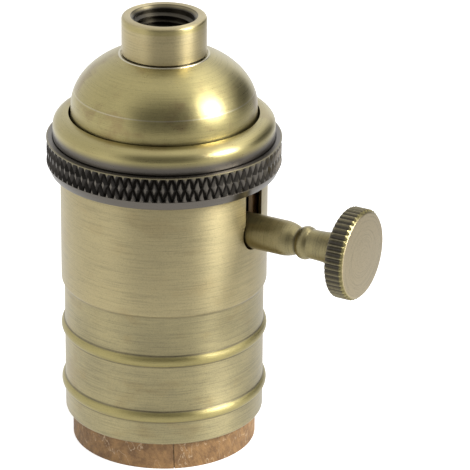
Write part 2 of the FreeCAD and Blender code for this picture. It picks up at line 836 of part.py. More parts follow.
def shaft_clip():
    """The open clip in the shaft's groove."""
    clip_end = clip_start + CLIP_THICKNESS
    bore = SHAFT_RADIUS - CLIP_GROOVE + HAND_FIT
    ring = shaft_rod(CLIP_RADIUS, clip_start, clip_end - HAND_FIT)
    ring = ring.cut(shaft_rod(bore, clip_start, clip_end))
    mouth = block(
        (clip_start, clip_end),
        (-CLIP_MOUTH / 2, CLIP_MOUTH / 2),
        (axis_height - CLIP_RADIUS, axis_height),
    )
    return ring.cut(mouth)


def rotor():
    """The moulded rotor: hub, four-sided cam and contact drum on the flatted shaft."""
    hub = shaft_rod(HUB_RADIUS, rotor_start, rotor_end)
    cam_x = (CAM_START, CAM_START + CAM_LENGTH)
    square = block(
        cam_x, (-CAM_FLAT, CAM_FLAT), (axis_height - CAM_FLAT, axis_height + CAM_FLAT)
    )
    cam = square.common(shaft_rod(CAM_CORNER, *cam_x))
    drum = shaft_rod(DRUM_RADIUS, DRUM_START, drum_end)
    bore = flatted(
        SHAFT_RADIUS + HAND_FIT, SHAFT_FLAT + HAND_FIT, rotor_start, rotor_end
    )
    return hub.fuse(cam).fuse(drum).cut(bore)


def contact_bridge():
    """The bronze clip on the drum, with a lobe towards each blade."""
    inner = DRUM_RADIUS + HAND_FIT
    outer = inner + BRIDGE_WALL
    ends = (bridge_start, bridge_end)
    bridge = shaft_rod(outer, *ends)
    for side in (-1, 1):
        place = (bridge_start, side * (lobe_radius - LOBE_RADIUS), axis_height)
        lobe = rod(LOBE_RADIUS, place, (1, 0, 0), bridge_end - bridge_start)
        bridge = bridge.fuse(lobe)
    mouth = block(
        ends, (-BRIDGE_MOUTH / 2, BRIDGE_MOUTH / 2), (axis_height - outer, axis_height)
    )
    return bridge.cut(shaft_rod(inner, *ends)).cut(mouth)


def leaf_x():
    """The width of the detent leaf, centred over the cam."""
    middle = CAM_START + CAM_LENGTH / 2
    return middle - LEAF_WIDTH / 2, middle + LEAF_WIDTH / 2


def detent_spring():
    """The arched leaf that the cam's corners pass under."""
    middle = axis_height + CAM_CORNER + LEAF_GAP
    reach = cavity_half_width + LEAF_GROOVE - COVER_GAP
    end = middle + LEAF_ARCH
    thick = LEAF_THICKNESS
    line = Outline(-reach, end).arc((0, middle), (reach, end)).to(reach, end + thick)
    line.arc((0, middle + thick), (-reach, end + thick))
    start, stop = leaf_x()
    leaf = line.face().extrude(Vector(0, stop - start, 0))
    leaf.rotate(Vector(), Vector(0, 0, 1), 90)
    leaf.translate(Vector(stop, 0, 0))
    return leaf


def leaf_groove():
    """The pair of grooves in the cavity's walls that hold the leaf's ends."""
    start, stop = leaf_x()
    reach = cavity_half_width + LEAF_GROOVE
    bottom = axis_height + CAM_CORNER + LEAF_GAP + LEAF_ARCH * 0.6
    return block(
        (start - COVER_GAP, stop + COVER_GAP), (-reach, reach), (bottom, cover_bottom)
    )


def knob_disc():
    """The knob's disc, with straight teeth that run out at both chamfers."""
    face = disc_back + DISC_THICKNESS
    root = DISC_RADIUS - TOOTH_DEPTH
    pitch = 2 * math.pi / TOOTH_COUNT
    land = TOOTH_LAND / DISC_RADIUS / 2
    floor = TOOTH_FLOOR / root / 2
    corners = []
    for tooth in range(TOOTH_COUNT):
        middle = tooth * pitch
        valley = middle + pitch / 2
        for angle, radius in (
            (middle - land, DISC_RADIUS),
            (middle + land, DISC_RADIUS),
            (valley - floor, root),
            (valley + floor, root),
        ):
            corners.append(
                Vector(disc_back, radius * math.cos(angle), radius * math.sin(angle))
            )
    star = Part.Face(Part.makePolygon(corners + [corners[0]]))
    toothed = on_knob_axis(star.extrude(Vector(DISC_THICKNESS, 0, 0)))
    line = Outline(disc_back, 0).to(disc_back, DISC_RADIUS - DISC_BACK_CHAMFER)
    line.to(disc_back + DISC_BACK_CHAMFER, DISC_RADIUS)
    line.to(face - DISC_FACE_CHAMFER, DISC_RADIUS)
    line.to(face, DISC_RADIUS - DISC_FACE_CHAMFER).to(face, 0)
    return toothed.common(line.turned_on_knob_axis())


def knob():
    """The turned knob: stem, ogive, bead, flared neck and toothed disc."""
    waist = stem_end + OGIVE_LENGTH
    neck = waist + BEAD_LENGTH
    line = Outline(stem_start, 0).to(stem_start, STEM_RADIUS - STEM_CHAMFER)
    line.to(stem_start + STEM_CHAMFER, STEM_RADIUS).to(stem_end, STEM_RADIUS)
    line.arc(
        (
            stem_end + OGIVE_LENGTH * 0.6,
            STEM_RADIUS - (STEM_RADIUS - WAIST_RADIUS) * 0.36,
        ),
        (waist, WAIST_RADIUS),
    )
    line.arc((waist + BEAD_LENGTH / 2, BEAD_RADIUS), (neck, FLARE_NECK_RADIUS))
    line.arc(
        (
            neck + FLARE_LENGTH * 0.6,
            FLARE_NECK_RADIUS + (FLARE_RADIUS - FLARE_NECK_RADIUS) * 0.3,
        ),
        (disc_back, FLARE_RADIUS),
    )
    line.to(disc_back, 0)
    bore_end = stem_start + SHAFT_REACH + KNOB_BORE_ROOM
    bore = shaft_rod(SHAFT_RADIUS + HAND_FIT, stem_start, bore_end)
    return line.turned_on_knob_axis().fuse(knob_disc()).cut(bore)


PIECES = {
    "neck_collar": neck_collar,
    "dome_cap": dome_cap,
    "union_ring": union_ring,
    "shell": shell,
    "insulating_liner": insulating_liner,
    "switch_housing": switch_housing,
    "housing_cover": housing_cover,
    "cover_screws": cover_screws,
    "line_terminal": line_terminal,
    "neutral_terminal": neutral_terminal,
    "load_blade": load_blade,
    "screw_shell": screw_shell,
    "screw_shell_rivets": screw_shell_rivets,
    "centre_contact": centre_contact,
    "centre_rivet": centre_rivet,
    "shaft_bushing": shaft_bushing,
    "switch_shaft": switch_shaft,
    "shaft_clip": shaft_clip,
    "rotor": rotor,
    "contact_bridge": contact_bridge,
    "detent_spring": detent_spring,
    "knob": knob,
}

for piece_name, build_piece in PIECES.items():
    save(piece_name, build_piece())
save("line_screw", terminal_screw(1))
save("neutral_screw", terminal_screw(-1))
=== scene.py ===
import json
import math

import bmesh
import bpy
from bpy.props import FloatProperty, FloatVectorProperty, IntProperty, PointerProperty
from mathutils import Matrix, Quaternion, Vector


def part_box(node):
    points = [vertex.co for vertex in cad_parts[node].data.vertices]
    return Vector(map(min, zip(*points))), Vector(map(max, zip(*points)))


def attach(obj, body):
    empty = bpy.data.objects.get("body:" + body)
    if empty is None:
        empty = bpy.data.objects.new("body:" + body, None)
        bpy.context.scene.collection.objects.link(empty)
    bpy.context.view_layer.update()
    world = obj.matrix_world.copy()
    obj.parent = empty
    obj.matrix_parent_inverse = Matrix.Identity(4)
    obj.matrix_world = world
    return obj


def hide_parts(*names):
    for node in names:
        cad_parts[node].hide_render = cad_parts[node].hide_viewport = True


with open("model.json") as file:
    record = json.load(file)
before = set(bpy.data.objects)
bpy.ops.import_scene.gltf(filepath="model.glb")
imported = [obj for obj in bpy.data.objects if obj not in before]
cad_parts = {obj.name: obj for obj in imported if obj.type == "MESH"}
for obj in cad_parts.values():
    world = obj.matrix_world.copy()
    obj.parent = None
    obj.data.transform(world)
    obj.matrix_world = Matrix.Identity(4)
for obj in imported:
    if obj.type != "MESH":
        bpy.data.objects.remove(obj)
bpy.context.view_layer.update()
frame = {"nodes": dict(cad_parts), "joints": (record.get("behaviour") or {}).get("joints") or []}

bl_info = {
    "name": "Brass Lamp Socket",
    "version": (1, 0, 0),
    "blender": (4, 5, 0),
    "location": "View3D > Sidebar > Lamp Socket",
    "description": "Models and finishes a brass lamp socket with a turn knob",
    "category": "Object",
}

# Lengths in profiles are in millimetres, and the scene is in metres
MM = 0.001


def low_mm(node, axis):
    """The lowest coordinate of a node along an axis, in millimetres."""
    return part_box(node)[0][axis] / MM


def high_mm(node, axis):
    """The highest coordinate of a node along an axis, in millimetres."""
    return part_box(node)[1][axis] / MM


# Smoothness of turned and drawn pieces
ROUND_STEPS = 240
STEM_STEPS = 128
THREAD_STEPS = 96
HOLE_STEPS = 64
ROUNDING_SEGMENTS = 4
SMOOTH_ANGLE = math.radians(32)
RING_SMOOTH_ANGLE = math.radians(24)
KNOB_SMOOTH_ANGLE = math.radians(28)
CUP_SMOOTH_ANGLE = math.radians(40)

# Direction of a new circle's first vertex
FIRST_VERTEX = math.pi / 2

# Heights and radii read from the frame
X, Y, Z = range(3)
SHELL_FOOT = low_mm("shell", Z)
SHELL_TOP = high_mm("shell", Z)
LINER_RADIUS = high_mm("insulating_liner", Y)
RING_FOOT = low_mm("union_ring", Z)
RING_TOP = high_mm("union_ring", Z)
RING_RADIUS = high_mm("union_ring", Y)
CAP_FOOT = low_mm("dome_cap", Z)
CAP_SEAT = high_mm("dome_cap", Z)
NECK_FOOT = low_mm("neck_collar", Z)
NECK_TOP = high_mm("neck_collar", Z)
NECK_RADIUS = high_mm("neck_collar", Y)
KNOB_BACK = low_mm("knob", X)
KNOB_FACE = high_mm("knob", X)
AXIS_HEIGHT = frame["joints"][0]["pos_m"][2] / MM

# Shell
SHELL_RADIUS = 17.23
SHELL_LOWER_RADIUS = 16.73
SHELL_WALL = 0.5
STEP_TOP = SHELL_FOOT + 23.7
STEP_RUN = 0.45
BEAD_PLACES = (SHELL_FOOT + 5.15, SHELL_FOOT + 15.3)
BEAD_HALF_WIDTH = 1.0
BEAD_RISE = 0.58
SLOT_HALF_WIDTH = 2.65
HOLE_RADIUS = 3.21
STEP_ROUNDING = 0.3
SHELL_RIM_ROUNDING = 0.08
SHELL_FOOT_ROUNDING = 0.1

# Liner
LINER_WALL = 0.65
LINER_GAP = 0.05
LINER_EDGES = (0.06, 0.08)
SEAM_WIDTH = 0.15
SEAM_DEPTH = 0.4
SEAM_ANGLE = math.radians(-53.5)
# Waves of the seam, as reach and rate
SEAM_SWAY = ((0.06, 2.1), (0.03, 5.3))

# Cap
CAP_FLANGE_RADIUS = SHELL_RADIUS
CAP_FLANGE = 0.8
CAP_RADIUS = 15.4
CAP_WALL = 0.6
CROWN_BASE = CAP_FOOT + 6.8
CROWN_HEIGHT = 10.2
CAP_SEAT_RADIUS = 7.52
CAP_SEAT_WALL = 0.8
CAP_HOLE = 5.95
FLANGE_ROUNDINGS = (0.1, 0.2)
# Inner radius, outer radius and height of the raised edge on the seat
SEAT_LIP = (7.15, 7.46, 0.15)
SEAT_LIP_ROUNDING = 0.09

# Neck
THREAD_CREST = 4.46
THREAD_ROOT = 5.0
THREAD_SINK = 0.06
NECK_MOUTH = 5.55
NECK_EDGE = 0.5
SPIGOT_RADIUS = 5.9
STAKE_RADIUS = 6.9
STAKE_HEIGHT = 0.8
STAKE_ROUNDING = 0.15
NECK_FOOT_ROUNDING = 0.1
NECK_MOUTH_ROUNDING = 0.08
# Depth and height of the groove at the neck's foot
NECK_GROOVE = (0.35, 0.3)
# Shares of the pitch for the thread's flat crest and the gap at its root
THREAD_FLAT = 0.12
THREAD_GAP = 0.05

# Ring
RING_BORE = 17.28
CONE_START = 18.85
CONE_HEIGHT = 1.5
KNURL_ROWS = 2
KNURL_ROW = 2.0
KNURL_TIP = 19.45
KNURL_ROOT = 18.95
KNURL_BACKING = 18.3
KNURL_OVERLAP = 0.1
RIM_LAND = 0.17
RIM_CHAMFER = 0.12
SHOULDER_RADIUS = 18.4
SHOULDER_GROOVE = 0.12
SHOULDER_WALL = 2.1
LIP_BORE = 15.8
LEDGE = RING_FOOT + 5.0
CONE_ROUNDING = 0.1
KNURL_ROUNDING = 0.05
GROOVE_ROUNDING = 0.04

# Knob
STEM_RADIUS = 2.91
STEM_BORE = 1.55
STEM_CHAMFER = 0.3
STEM_ROUNDING = 0.08
STEM_END = 22.95
WAIST_RADIUS = 2.15
OGIVE_LENGTH = 2.75
BEAD_LENGTH = 2.2
BEAD_RADIUS = 2.78
BEAD_CORNER = 0.06
FLARE_NECK_RADIUS = 2.45
FLARE_RADIUS = 3.2
# Where the curves pass, as shares across and along
OGIVE_BOW = (0.36, 0.6)
FLARE_BOW = (0.3, 0.6)
DISC_THICKNESS = 3.27
DISC_RADIUS = 7.57
DISC_BACK_CHAMFER = 0.3
DISC_FACE_CHAMFER = 0.55
TOOTH_COUNT = 48
TOOTH_DEPTH = 0.42
TOOTH_STEPS = 10
TOOTH_LAND_STEPS = 1
TOOTH_FULLNESS = 0.75
DISC_ROUNDINGS = (0.06, 0.1)

# Screw shell
CUP_TOP = high_mm("screw_shell", Z)
CUP_MOUTH = low_mm("screw_shell", Z)
CUP_WALL = 0.3
CUP_HOLE = 5.6
CUP_NECK = 12.4
CUP_LIP = 0.55
CUP_LIP_HEIGHT = 0.6
CUP_SHOULDER = 0.4
CUP_SHEET = 0.9 * CUP_WALL
ROLLED_FROM = CUP_MOUTH + 1.6
ROLLED_TO = CUP_TOP - 6.4
BULB_CREST = 13.3
BULB_ROOT = 12.35

# Camera, fitted to the photograph's frame of 470 pixels
PHOTO_WIDTH = 470
FOCAL_PIXELS = 3371.8
SENSOR = 36.0
AXIS_PIXEL = 164.2
CAMERA_AZIMUTH = math.radians(30.5)
CAMERA_ELEVATION = math.radians(23.22)
CAMERA_DISTANCE = 563.8
AIM_HEIGHT = 35.9

# Light, with directions as degrees to the right of the camera's side and above the floor
KEY_LAMP = {"turn": 68, "height": 33, "distance": 600, "size": (250, 240), "power": 2.9, "lean": 15}
ROOM_BRIGHTNESS = 1.15
ROOM_LIGHT = 0.62
# Patches of the room, as turn, height, width and share of the light
ROOM_PATCHES = ((0, 28, 60, 0.16), (124, 7, 36, 0.06), (-125, 20, 80, 0.72), (118, 42, 32, 1.55))
FLOOR_WIDTH = 6
FLOOR_GLOW = 0.75
FLOOR_FADE = (80, 330)
# Shades on the floor, as turn, width and darkness
FLOOR_SHADES = ((0, 54, 0.72), (118, 42, 0.5))
WHITE = (1, 1, 1, 1)
BLACK = (0, 0, 0, 1)


# Modelling by hand

def rest():
    """Leave edit mode and select nothing."""
    if bpy.context.mode != "OBJECT":
        bpy.ops.object.mode_set(mode="OBJECT")
    bpy.ops.object.select_all(action="DESELECT")


def hold(piece):
    """Select one piece and make it active."""
    rest()
    piece.select_set(True)
    bpy.context.view_layer.objects.active = piece


def edit(piece):
    """Open a piece in edit mode."""
    hold(piece)
    bpy.ops.object.mode_set(mode="EDIT")


def pick(piece, wanted, kind="VERT"):
    """Select the vertices, edges or faces of the edited piece that fit a test."""
    bpy.ops.mesh.select_mode(type=kind)
    bpy.ops.mesh.select_all(action="DESELECT")
    mesh = bmesh.from_edit_mesh(piece.data)
    parts = {"VERT": mesh.verts, "EDGE": mesh.edges, "FACE": mesh.faces}[kind]
    count = 0
    for part in parts:
        if wanted(part):
            part.select_set(True)
            count += 1
    mesh.select_flush_mode()
    bmesh.update_edit_mesh(piece.data)
    if not count:
        raise RuntimeError(piece.name + ": nothing fits the selection")


def pick_all():
    """Select all of the edited piece."""
    bpy.ops.mesh.select_all(action="SELECT")


def near(radius, height):
    """A test for vertices at a distance from the turning axis and a height, in millimetres."""
    def wanted(vertex):
        across = math.hypot(vertex.co.x, vertex.co.y) / MM - radius
        along = vertex.co.z / MM - height
        return abs(across) < 1e-3 and abs(along) < 1e-3
    return wanted


def column(vertex, columns):
    """The column that a vertex of a round piece stands in, from a new circle's first."""
    angle = math.atan2(vertex.co.y, vertex.co.x) - FIRST_VERTEX
    return round(angle / math.tau * columns)


def narrow(scale):
    """Scale what is selected towards the upright axis."""
    bpy.ops.transform.resize(value=(scale, scale, 1), center_override=(0, 0, 0))


def seal(piece):
    """Merge doubles and point every face outwards."""
    edit(piece)
    pick_all()
    bpy.ops.mesh.remove_doubles(threshold=1e-7)
    bpy.ops.mesh.normals_make_consistent(inside=False)
    rest()


def smooth(piece, angle=SMOOTH_ANGLE):
    """Shade a piece smooth up to an angle."""
    hold(piece)
    bpy.ops.object.shade_smooth_by_angle(angle=angle)
    rest()


def apply_modifier(piece, kind, **settings):
    """Add one modifier with its settings and apply it."""
    hold(piece)
    modifier = piece.modifiers.new("shape", kind)
    for name, value in settings.items():
        setattr(modifier, name, value)
    bpy.ops.object.modifier_apply(modifier=modifier.name)
    rest()


def cut(piece, cutter, operation="DIFFERENCE"):
    """Cut a piece with another, which is used up."""
    apply_modifier(piece, "BOOLEAN", object=cutter, operation=operation, solver="EXACT")
    bpy.data.objects.remove(cutter)


def join(piece, *others):
    """Join other pieces to a piece."""
    hold(piece)
    for other in others:
        other.select_set(True)
    bpy.ops.object.join()
    rest()


def new_point(name):
    """Start a piece from a single point at the origin."""
    rest()
    bpy.ops.mesh.primitive_circle_add(vertices=3, radius=MM)
    piece = bpy.context.object
    piece.name = name
    piece.data.name = name
    bpy.ops.object.mode_set(mode="EDIT")
    bpy.ops.mesh.select_mode(type="VERT")
    pick_all()
    bpy.ops.mesh.merge(type="CENTER")
    return piece


def draw(name, outline):
    """Draw an outline of (radius, height) or (radius, height, rounding) points by extrusion."""
    piece = new_point(name)
    radius, height = outline[0][:2]
    bpy.ops.transform.translate(value=(radius * MM, 0, height * MM))
    for point in outline[1:]:
        across, along = point[0] - radius, point[1] - height
        move = {"value": (across * MM, 0, along * MM)}
        bpy.ops.mesh.extrude_vertices_move(TRANSFORM_OT_translate=move)
        radius, height = point[:2]
    return piece


def soften(piece, outline):
    """Round the corners of a drawn outline that have a rounding."""
    for point in outline:
        if len(point) == 3:
            pick(piece, near(point[0], point[1]))
            bpy.ops.mesh.bevel(affect="VERTICES", offset=point[2] * MM,
                               segments=ROUNDING_SEGMENTS, profile=0.5)


def close_outline(piece, outline):
    """Join the last point of a drawn outline to the first."""
    first, last = near(*outline[0][:2]), near(*outline[-1][:2])
    pick(piece, lambda vertex: first(vertex) or last(vertex))
    bpy.ops.mesh.edge_face_add()


def spin_drawn(piece, steps):
    """Spin the drawn outline about the upright axis."""
    pick_all()
    bpy.ops.mesh.spin(steps=steps, angle=math.tau, center=(0, 0, 0), axis=(0, 0, 1))
    seal(piece)


def turned(name, outline, steps=ROUND_STEPS):
    """A closed turned piece from its outline."""
    piece = draw(name, outline)
    close_outline(piece, outline)
    soften(piece, outline)
    spin_drawn(piece, steps)
    return piece


def bow(start, via, end, steps):
    """Points along the arc from one point through a second to a third."""
    ax, ay = start
    bx, by = via
    cx, cy = end
    twice = 2 * (ax * (by - cy) + bx * (cy - ay) + cx * (ay - by))
    a2, b2, c2 = ax * ax + ay * ay, bx * bx + by * by, cx * cx + cy * cy
    mx = (a2 * (by - cy) + b2 * (cy - ay) + c2 * (ay - by)) / twice
    my = (a2 * (cx - bx) + b2 * (ax - cx) + c2 * (bx - ax)) / twice
    radius = math.hypot(ax - mx, ay - my)
    first = math.atan2(ay - my, ax - mx)
    sweep = math.atan2(cy - my, cx - mx) - first
    half = math.atan2(by - my, bx - mx) - first
    if (half % math.tau) > (sweep % math.tau):
        sweep = -((-sweep) % math.tau)
    else:
        sweep = sweep % math.tau
    points = []
    for step in range(steps + 1):
        angle = first + sweep * step / steps
        points.append((mx + radius * math.cos(angle), my + radius * math.sin(angle)))
    return points


def crown(wide, high, base, start, end, steps=22):
    """Points of an upright ellipse between two radii, the outer first or last."""
    first = math.acos(min(start / wide, 1))
    last = math.acos(min(end / wide, 1))
    points = []
    for step in range(steps + 1):
        angle = first + (last - first) * step / steps
        points.append((wide * math.cos(angle), base + high * math.sin(angle)))
    return points


def onto_knob_axis(piece):
    """Lay a piece that was turned upright along the knob's axis."""
    piece.rotation_euler = (0, math.pi / 2, 0)
    piece.location = (0, 0, AXIS_HEIGHT * MM)
    hold(piece)
    bpy.ops.object.transform_apply(location=True, rotation=True, scale=True)
    rest()


def cut_slot(piece, reach):
    """Cut the hole for the knob's stem and the narrower slot above it."""
    rest()
    bpy.ops.mesh.primitive_cylinder_add(
        vertices=HOLE_STEPS,
        radius=HOLE_RADIUS * MM,
        depth=reach * MM,
        location=(reach / 2 * MM, 0, AXIS_HEIGHT * MM),
        rotation=(0, math.pi / 2, 0),
    )
    cut(piece, bpy.context.object)
    over = 2
    height = SHELL_TOP + over - AXIS_HEIGHT
    bpy.ops.mesh.primitive_cube_add(
        size=1,
        location=(reach / 2 * MM, 0, (AXIS_HEIGHT + height / 2) * MM),
        scale=(reach * MM, 2 * SLOT_HALF_WIDTH * MM, height * MM),
    )
    cut(piece, bpy.context.object)


# Shader writing

class Number:
    """A number socket that turns Python arithmetic into Math nodes."""

    def __init__(self, nodes, socket):
        self.nodes = nodes
        self.socket = socket

    def maths(self, operation, *others, clamp=False):
        settings = {"operation": operation, "use_clamp": clamp}
        values = dict(enumerate((self,) + others))
        return self.nodes.number("ShaderNodeMath", settings, values)

    def __add__(self, other):
        return self.maths("ADD", other)

    def __mul__(self, other):
        return self.maths("MULTIPLY", other)

    def __sub__(self, other):
        return self.maths("SUBTRACT", other)

    def __rsub__(self, other):
        return (self * -1) + other

    def __truediv__(self, other):
        return self.maths("DIVIDE", other)

    def __abs__(self):
        return self.maths("ABSOLUTE")

    def clamp(self):
        return self.maths("ADD", 0.0, clamp=True)

    def root(self):
        return self.maths("SQRT")

    def larger(self, other):
        return self.maths("MAXIMUM", other)

    def rise(self, low, high):
        """0 up to low, 1 from high and smooth between; falls where low is above high."""
        settings = {"interpolation_type": "SMOOTHSTEP"}
        values = {"Value": self, "From Min": min(low, high), "From Max": max(low, high)}
        share = self.nodes.number("ShaderNodeMapRange", settings, values)
        return share if low < high else 1 - share


class Nodes:
    """A node tree, emptied, and the way to add nodes to it."""

    def __init__(self, tree):
        self.tree = tree
        tree.nodes.clear()

    def node(self, kind, settings, values):
        """A node of a type, with its settings set first and then its sockets."""
        node = self.tree.nodes.new(kind)
        for name, value in settings.items():
            setattr(node, name, value)
        for name, value in values.items():
            socket = node.inputs[name]
            if isinstance(value, Number):
                value = value.socket
            if isinstance(value, bpy.types.NodeSocket):
                self.tree.links.new(value, socket)
            else:
                socket.default_value = value
        return node

    def number(self, kind, settings, values):
        """The first output of a node, ready for arithmetic."""
        return Number(self, self.node(kind, settings, values).outputs[0])

    def seen(self):
        """The kinds of ray, and the share of rays that look at the background."""
        rays = self.node("ShaderNodeLightPath", {}, {}).outputs
        camera, glossy, passing = (Number(self, rays[name]) for name in (
            "Is Camera Ray", "Is Glossy Ray", "Is Transmission Ray"))
        return rays, camera.larger(glossy).larger(passing)


class Paint(Nodes):
    """One material and the nodes that it is written with."""

    def __init__(self, name):
        self.material = bpy.data.materials.new(name)
        self.material.use_nodes = True
        super().__init__(self.material.node_tree)
        self.output = self.node("ShaderNodeOutputMaterial", {}, {})
        self.place = self.node("ShaderNodeTexCoord", {}, {}).outputs["Object"]

    def axes(self, centre=(0, 0, 0)):
        """The three object coordinates in millimetres from a centre."""
        moved = self.node(
            "ShaderNodeVectorMath",
            {"operation": "SUBTRACT"},
            {0: self.place, 1: [value * MM for value in centre]},
        )
        return [part * (1 / MM) for part in self.parts(moved.outputs[0])]

    def parts(self, vector):
        """The three numbers of a vector."""
        node = self.node("ShaderNodeSeparateXYZ", {}, {0: vector})
        return [Number(self, output) for output in node.outputs]

    def noise(self, x, y, z, scale=1.0, detail=3.0, roughness=0.5):
        """Noise about one half, at a place given by three numbers."""
        place = self.node("ShaderNodeCombineXYZ", {}, {0: x, 1: y, 2: z}).outputs[0]
        values = {"Vector": place, "Scale": scale, "Detail": detail, "Roughness": roughness}
        return self.number("ShaderNodeTexNoise", {}, values)

    def blend(self, share, first, second):
        """A mix of two colours, by the colour sockets of the Mix node."""
        settings = {"data_type": "RGBA", "clamp_factor": True}
        return self.node("ShaderNodeMix", settings, {0: share, 6: first, 7: second}).outputs[2]

    def dimmed(self, shade, level):
        """A colour at a share of its brightness."""
        node = self.node("ShaderNodeVectorMath", {"operation": "SCALE"}, {0: shade, "Scale": level})
        return node.outputs[0]

    def bump(self, height, depth):
        """A normal from a height in shares of a depth in millimetres."""
        values = {"Height": height, "Distance": depth * MM, "Strength": 1.0}
        return self.node("ShaderNodeBump", {}, values).outputs[0]

    def finish(self, values):
        """The one shader of the material."""
        shader = self.node("ShaderNodeBsdfPrincipled", {}, values)
        self.tree.links.new(shader.outputs[0], self.output.inputs["Surface"])
        return self.material


def colour(name):
    """One of the user's colours, with its alpha."""
    return tuple(getattr(bpy.context.scene.socket_colours, name)) + (1.0,)


def turned_axes(paint, on_knob=False):
    """Distance from the turning axis, place along it and the two cross coordinates."""
    if on_knob:
        along, first, second = paint.axes((0, 0, AXIS_HEIGHT))
    else:
        first, second, along = paint.axes()
    radius = (first * first + second * second).root()
    return radius, along, first, second


def brushed_brass(name, masks, on_knob=False, depth=0.0, rough=0.36, brushing=1.0,
                  grain_pull=0.88, stained=0.5, painted_flank_shade=None):
    """Aged brass, brushed round its turning axis.

    masks are pairs of a colour's name and its share, or a function from (radius, along) to it.
    depth is how far the brass goes towards its deeper, yellower colour, and grain_pull is
    how strongly the brushing draws out a highlight. stained is the strength of the warmer
    stains, and the flank function gives the share of painted shade by the way a face looks.
    """
    paint = Paint(name)
    radius, along, first, second = turned_axes(paint, on_knob)
    run = along - radius
    fine = paint.noise(first * 0.14, second * 0.14, run * 5.0, detail=5.0, roughness=0.72)
    long_lines = paint.noise(first * 0.05, second * 0.05, run * 1.6, detail=4.0)
    cloud = paint.noise(first, second, along, scale=0.14, detail=5.0, roughness=0.62)
    stain = paint.noise(first, second, along * 1.6, scale=0.16, detail=4.0)
    grain = paint.noise(first, second, along, scale=5.0)
    tone = (cloud.rise(0.35, 0.68) * 0.5 + fine.rise(0.3, 0.7) * 0.6
            + long_lines.rise(0.35, 0.65) * 0.35 + grain.rise(0.35, 0.65) * 0.25
            - 0.3).clamp()
    base = paint.blend(tone, colour("brass_dark"), colour("brass"))
    base = paint.blend(depth, base, colour("brass_deep"))
    base = paint.blend(stain.rise(0.5, 0.66) * cloud.rise(0.4, 0.55) * stained, base,
                       colour("brass_red"))
    for shade, share in masks:
        if callable(share):
            share = share(radius, along)
        base = paint.blend(share, base, colour(shade))
    # Painted shade on faces that look a given way
    if painted_flank_shade:
        base = paint.blend(painted_flank_shade(paint, radius, along, first, second), base, colour("patina_and_shade"))
    streaks = (fine.rise(0.52, 0.36) * 0.6 + grain.rise(0.5, 0.35) * 0.4) * 0.5 * brushing
    base = paint.blend(streaks.clamp(), base, paint.dimmed(base, 0.55))
    height = fine * 0.8 + long_lines * 0.2 + grain * 0.2
    return paint.finish({
        "Base Color": base,
        "Metallic": 1.0,
        "Roughness": (fine * 0.14 + grain * 0.08 + (rough - 0.11)).clamp(),
        "Anisotropic": grain_pull,
        "Anisotropic Rotation": 0.25,
        "Coat Weight": 0.4,
        "Coat Roughness": 0.3,
        "Normal": paint.bump(height, 0.028 * brushing),
    })


def fibreboard(name):
    """Mottled brown vulcanised fibre with pale scratches, pale flecks inside and painted light on
    the slot's cut edges.
    """
    paint = Paint(name)
    radius, along, first, second = turned_axes(paint)
    cloud = paint.noise(first, second, along, scale=0.45, detail=5.0, roughness=0.65)
    flecks = paint.noise(first, second, along, scale=2.6, detail=4.0, roughness=0.7)
    strands = paint.noise(first * 0.5, second * 0.5, along * 0.5 + second,
                          scale=1.1, detail=5.0, roughness=0.75)
    tone = (cloud * 0.5 + flecks * 0.2 + strands * 0.45).rise(0.4, 0.74)
    base = paint.blend(tone, colour("fibre_dark"), colour("fibre"))
    slant = along * 0.18
    scratch = paint.noise(first * 0.5 + slant, second * 0.5 - slant, along * 0.1, detail=2.0)
    scratched = abs(scratch - 0.53).rise(0.012, 0.004) * flecks.rise(0.4, 0.5) * 0.8
    base = paint.blend(scratched, base, colour("fibre_pale"))
    inside = radius.rise(LINER_RADIUS - 0.02, LINER_RADIUS - 0.12)
    base = paint.blend(inside * flecks.rise(0.62, 0.4), base, colour("fibre_pale"))
    # Painted light: pale fibre on the slot's cut edges, which would be shaded
    painted_cut_edge_light = (abs(second).rise(SLOT_HALF_WIDTH + 0.04, SLOT_HALF_WIDTH + 0.01)
                 * along.rise(AXIS_HEIGHT + 1.8, AXIS_HEIGHT + 2.2) * first.rise(0, 1))
    base = paint.blend(painted_cut_edge_light, base, colour("fibre_pale"))
    return paint.finish({
        "Base Color": base,
        "Roughness": (flecks * 0.2 + 0.5).clamp(),
        "Normal": paint.bump(flecks * 0.5 + strands * 0.5, 0.12),
    })


def plain_metal(name, light, dark, rough):
    """Stamped sheet or turned wire metal with rolling lines and a slight tarnish."""
    paint = Paint(name)
    x, y, z = paint.axes()
    cloud = paint.noise(x, y, z, scale=0.5, detail=4.0)
    rolling = paint.noise(x * 6.0, y * 0.4, z * 0.8)
    grain = paint.noise(x, y, z, scale=5.0)
    base = paint.blend((cloud * 0.7 + rolling * 0.4).rise(0.35, 0.75), colour(dark), colour(light))
    return paint.finish({
        "Base Color": base,
        "Metallic": 1.0,
        "Roughness": (rolling * 0.15 + grain * 0.1 + rough).clamp(),
        "Normal": paint.bump(rolling * 0.6 + grain * 0.3, 0.02),
    })


def moulded_phenolic(name):
    """Black moulding with a faint flow pattern and fine pitting."""
    paint = Paint(name)
    x, y, z = paint.axes()
    flow = paint.noise(x, y, z * 2.0, scale=0.35, detail=4.0)
    pits = paint.noise(x, y, z, scale=3.5)
    base = paint.blend(flow.rise(0.35, 0.7), colour("phenolic"), colour("phenolic_light"))
    return paint.finish({
        "Base Color": base,
        "Roughness": (pits * 0.2 + 0.32).clamp(),
        "Normal": paint.bump(pits, 0.03),
    })


def dress(piece, material, node, body="socket"):
    """Give a new piece its material and body, and hide the CAD node it stands for."""
    piece.data.materials.clear()
    piece.data.materials.append(material)
    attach(piece, body)
    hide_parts(node)


def dress_node(node, material):
    """Give a carried-over CAD node its material."""
    piece = frame["nodes"][node]
    if not piece.material_slots:
        piece.data.materials.append(material)
    for slot in piece.material_slots:
        slot.material = material


# What a user would change

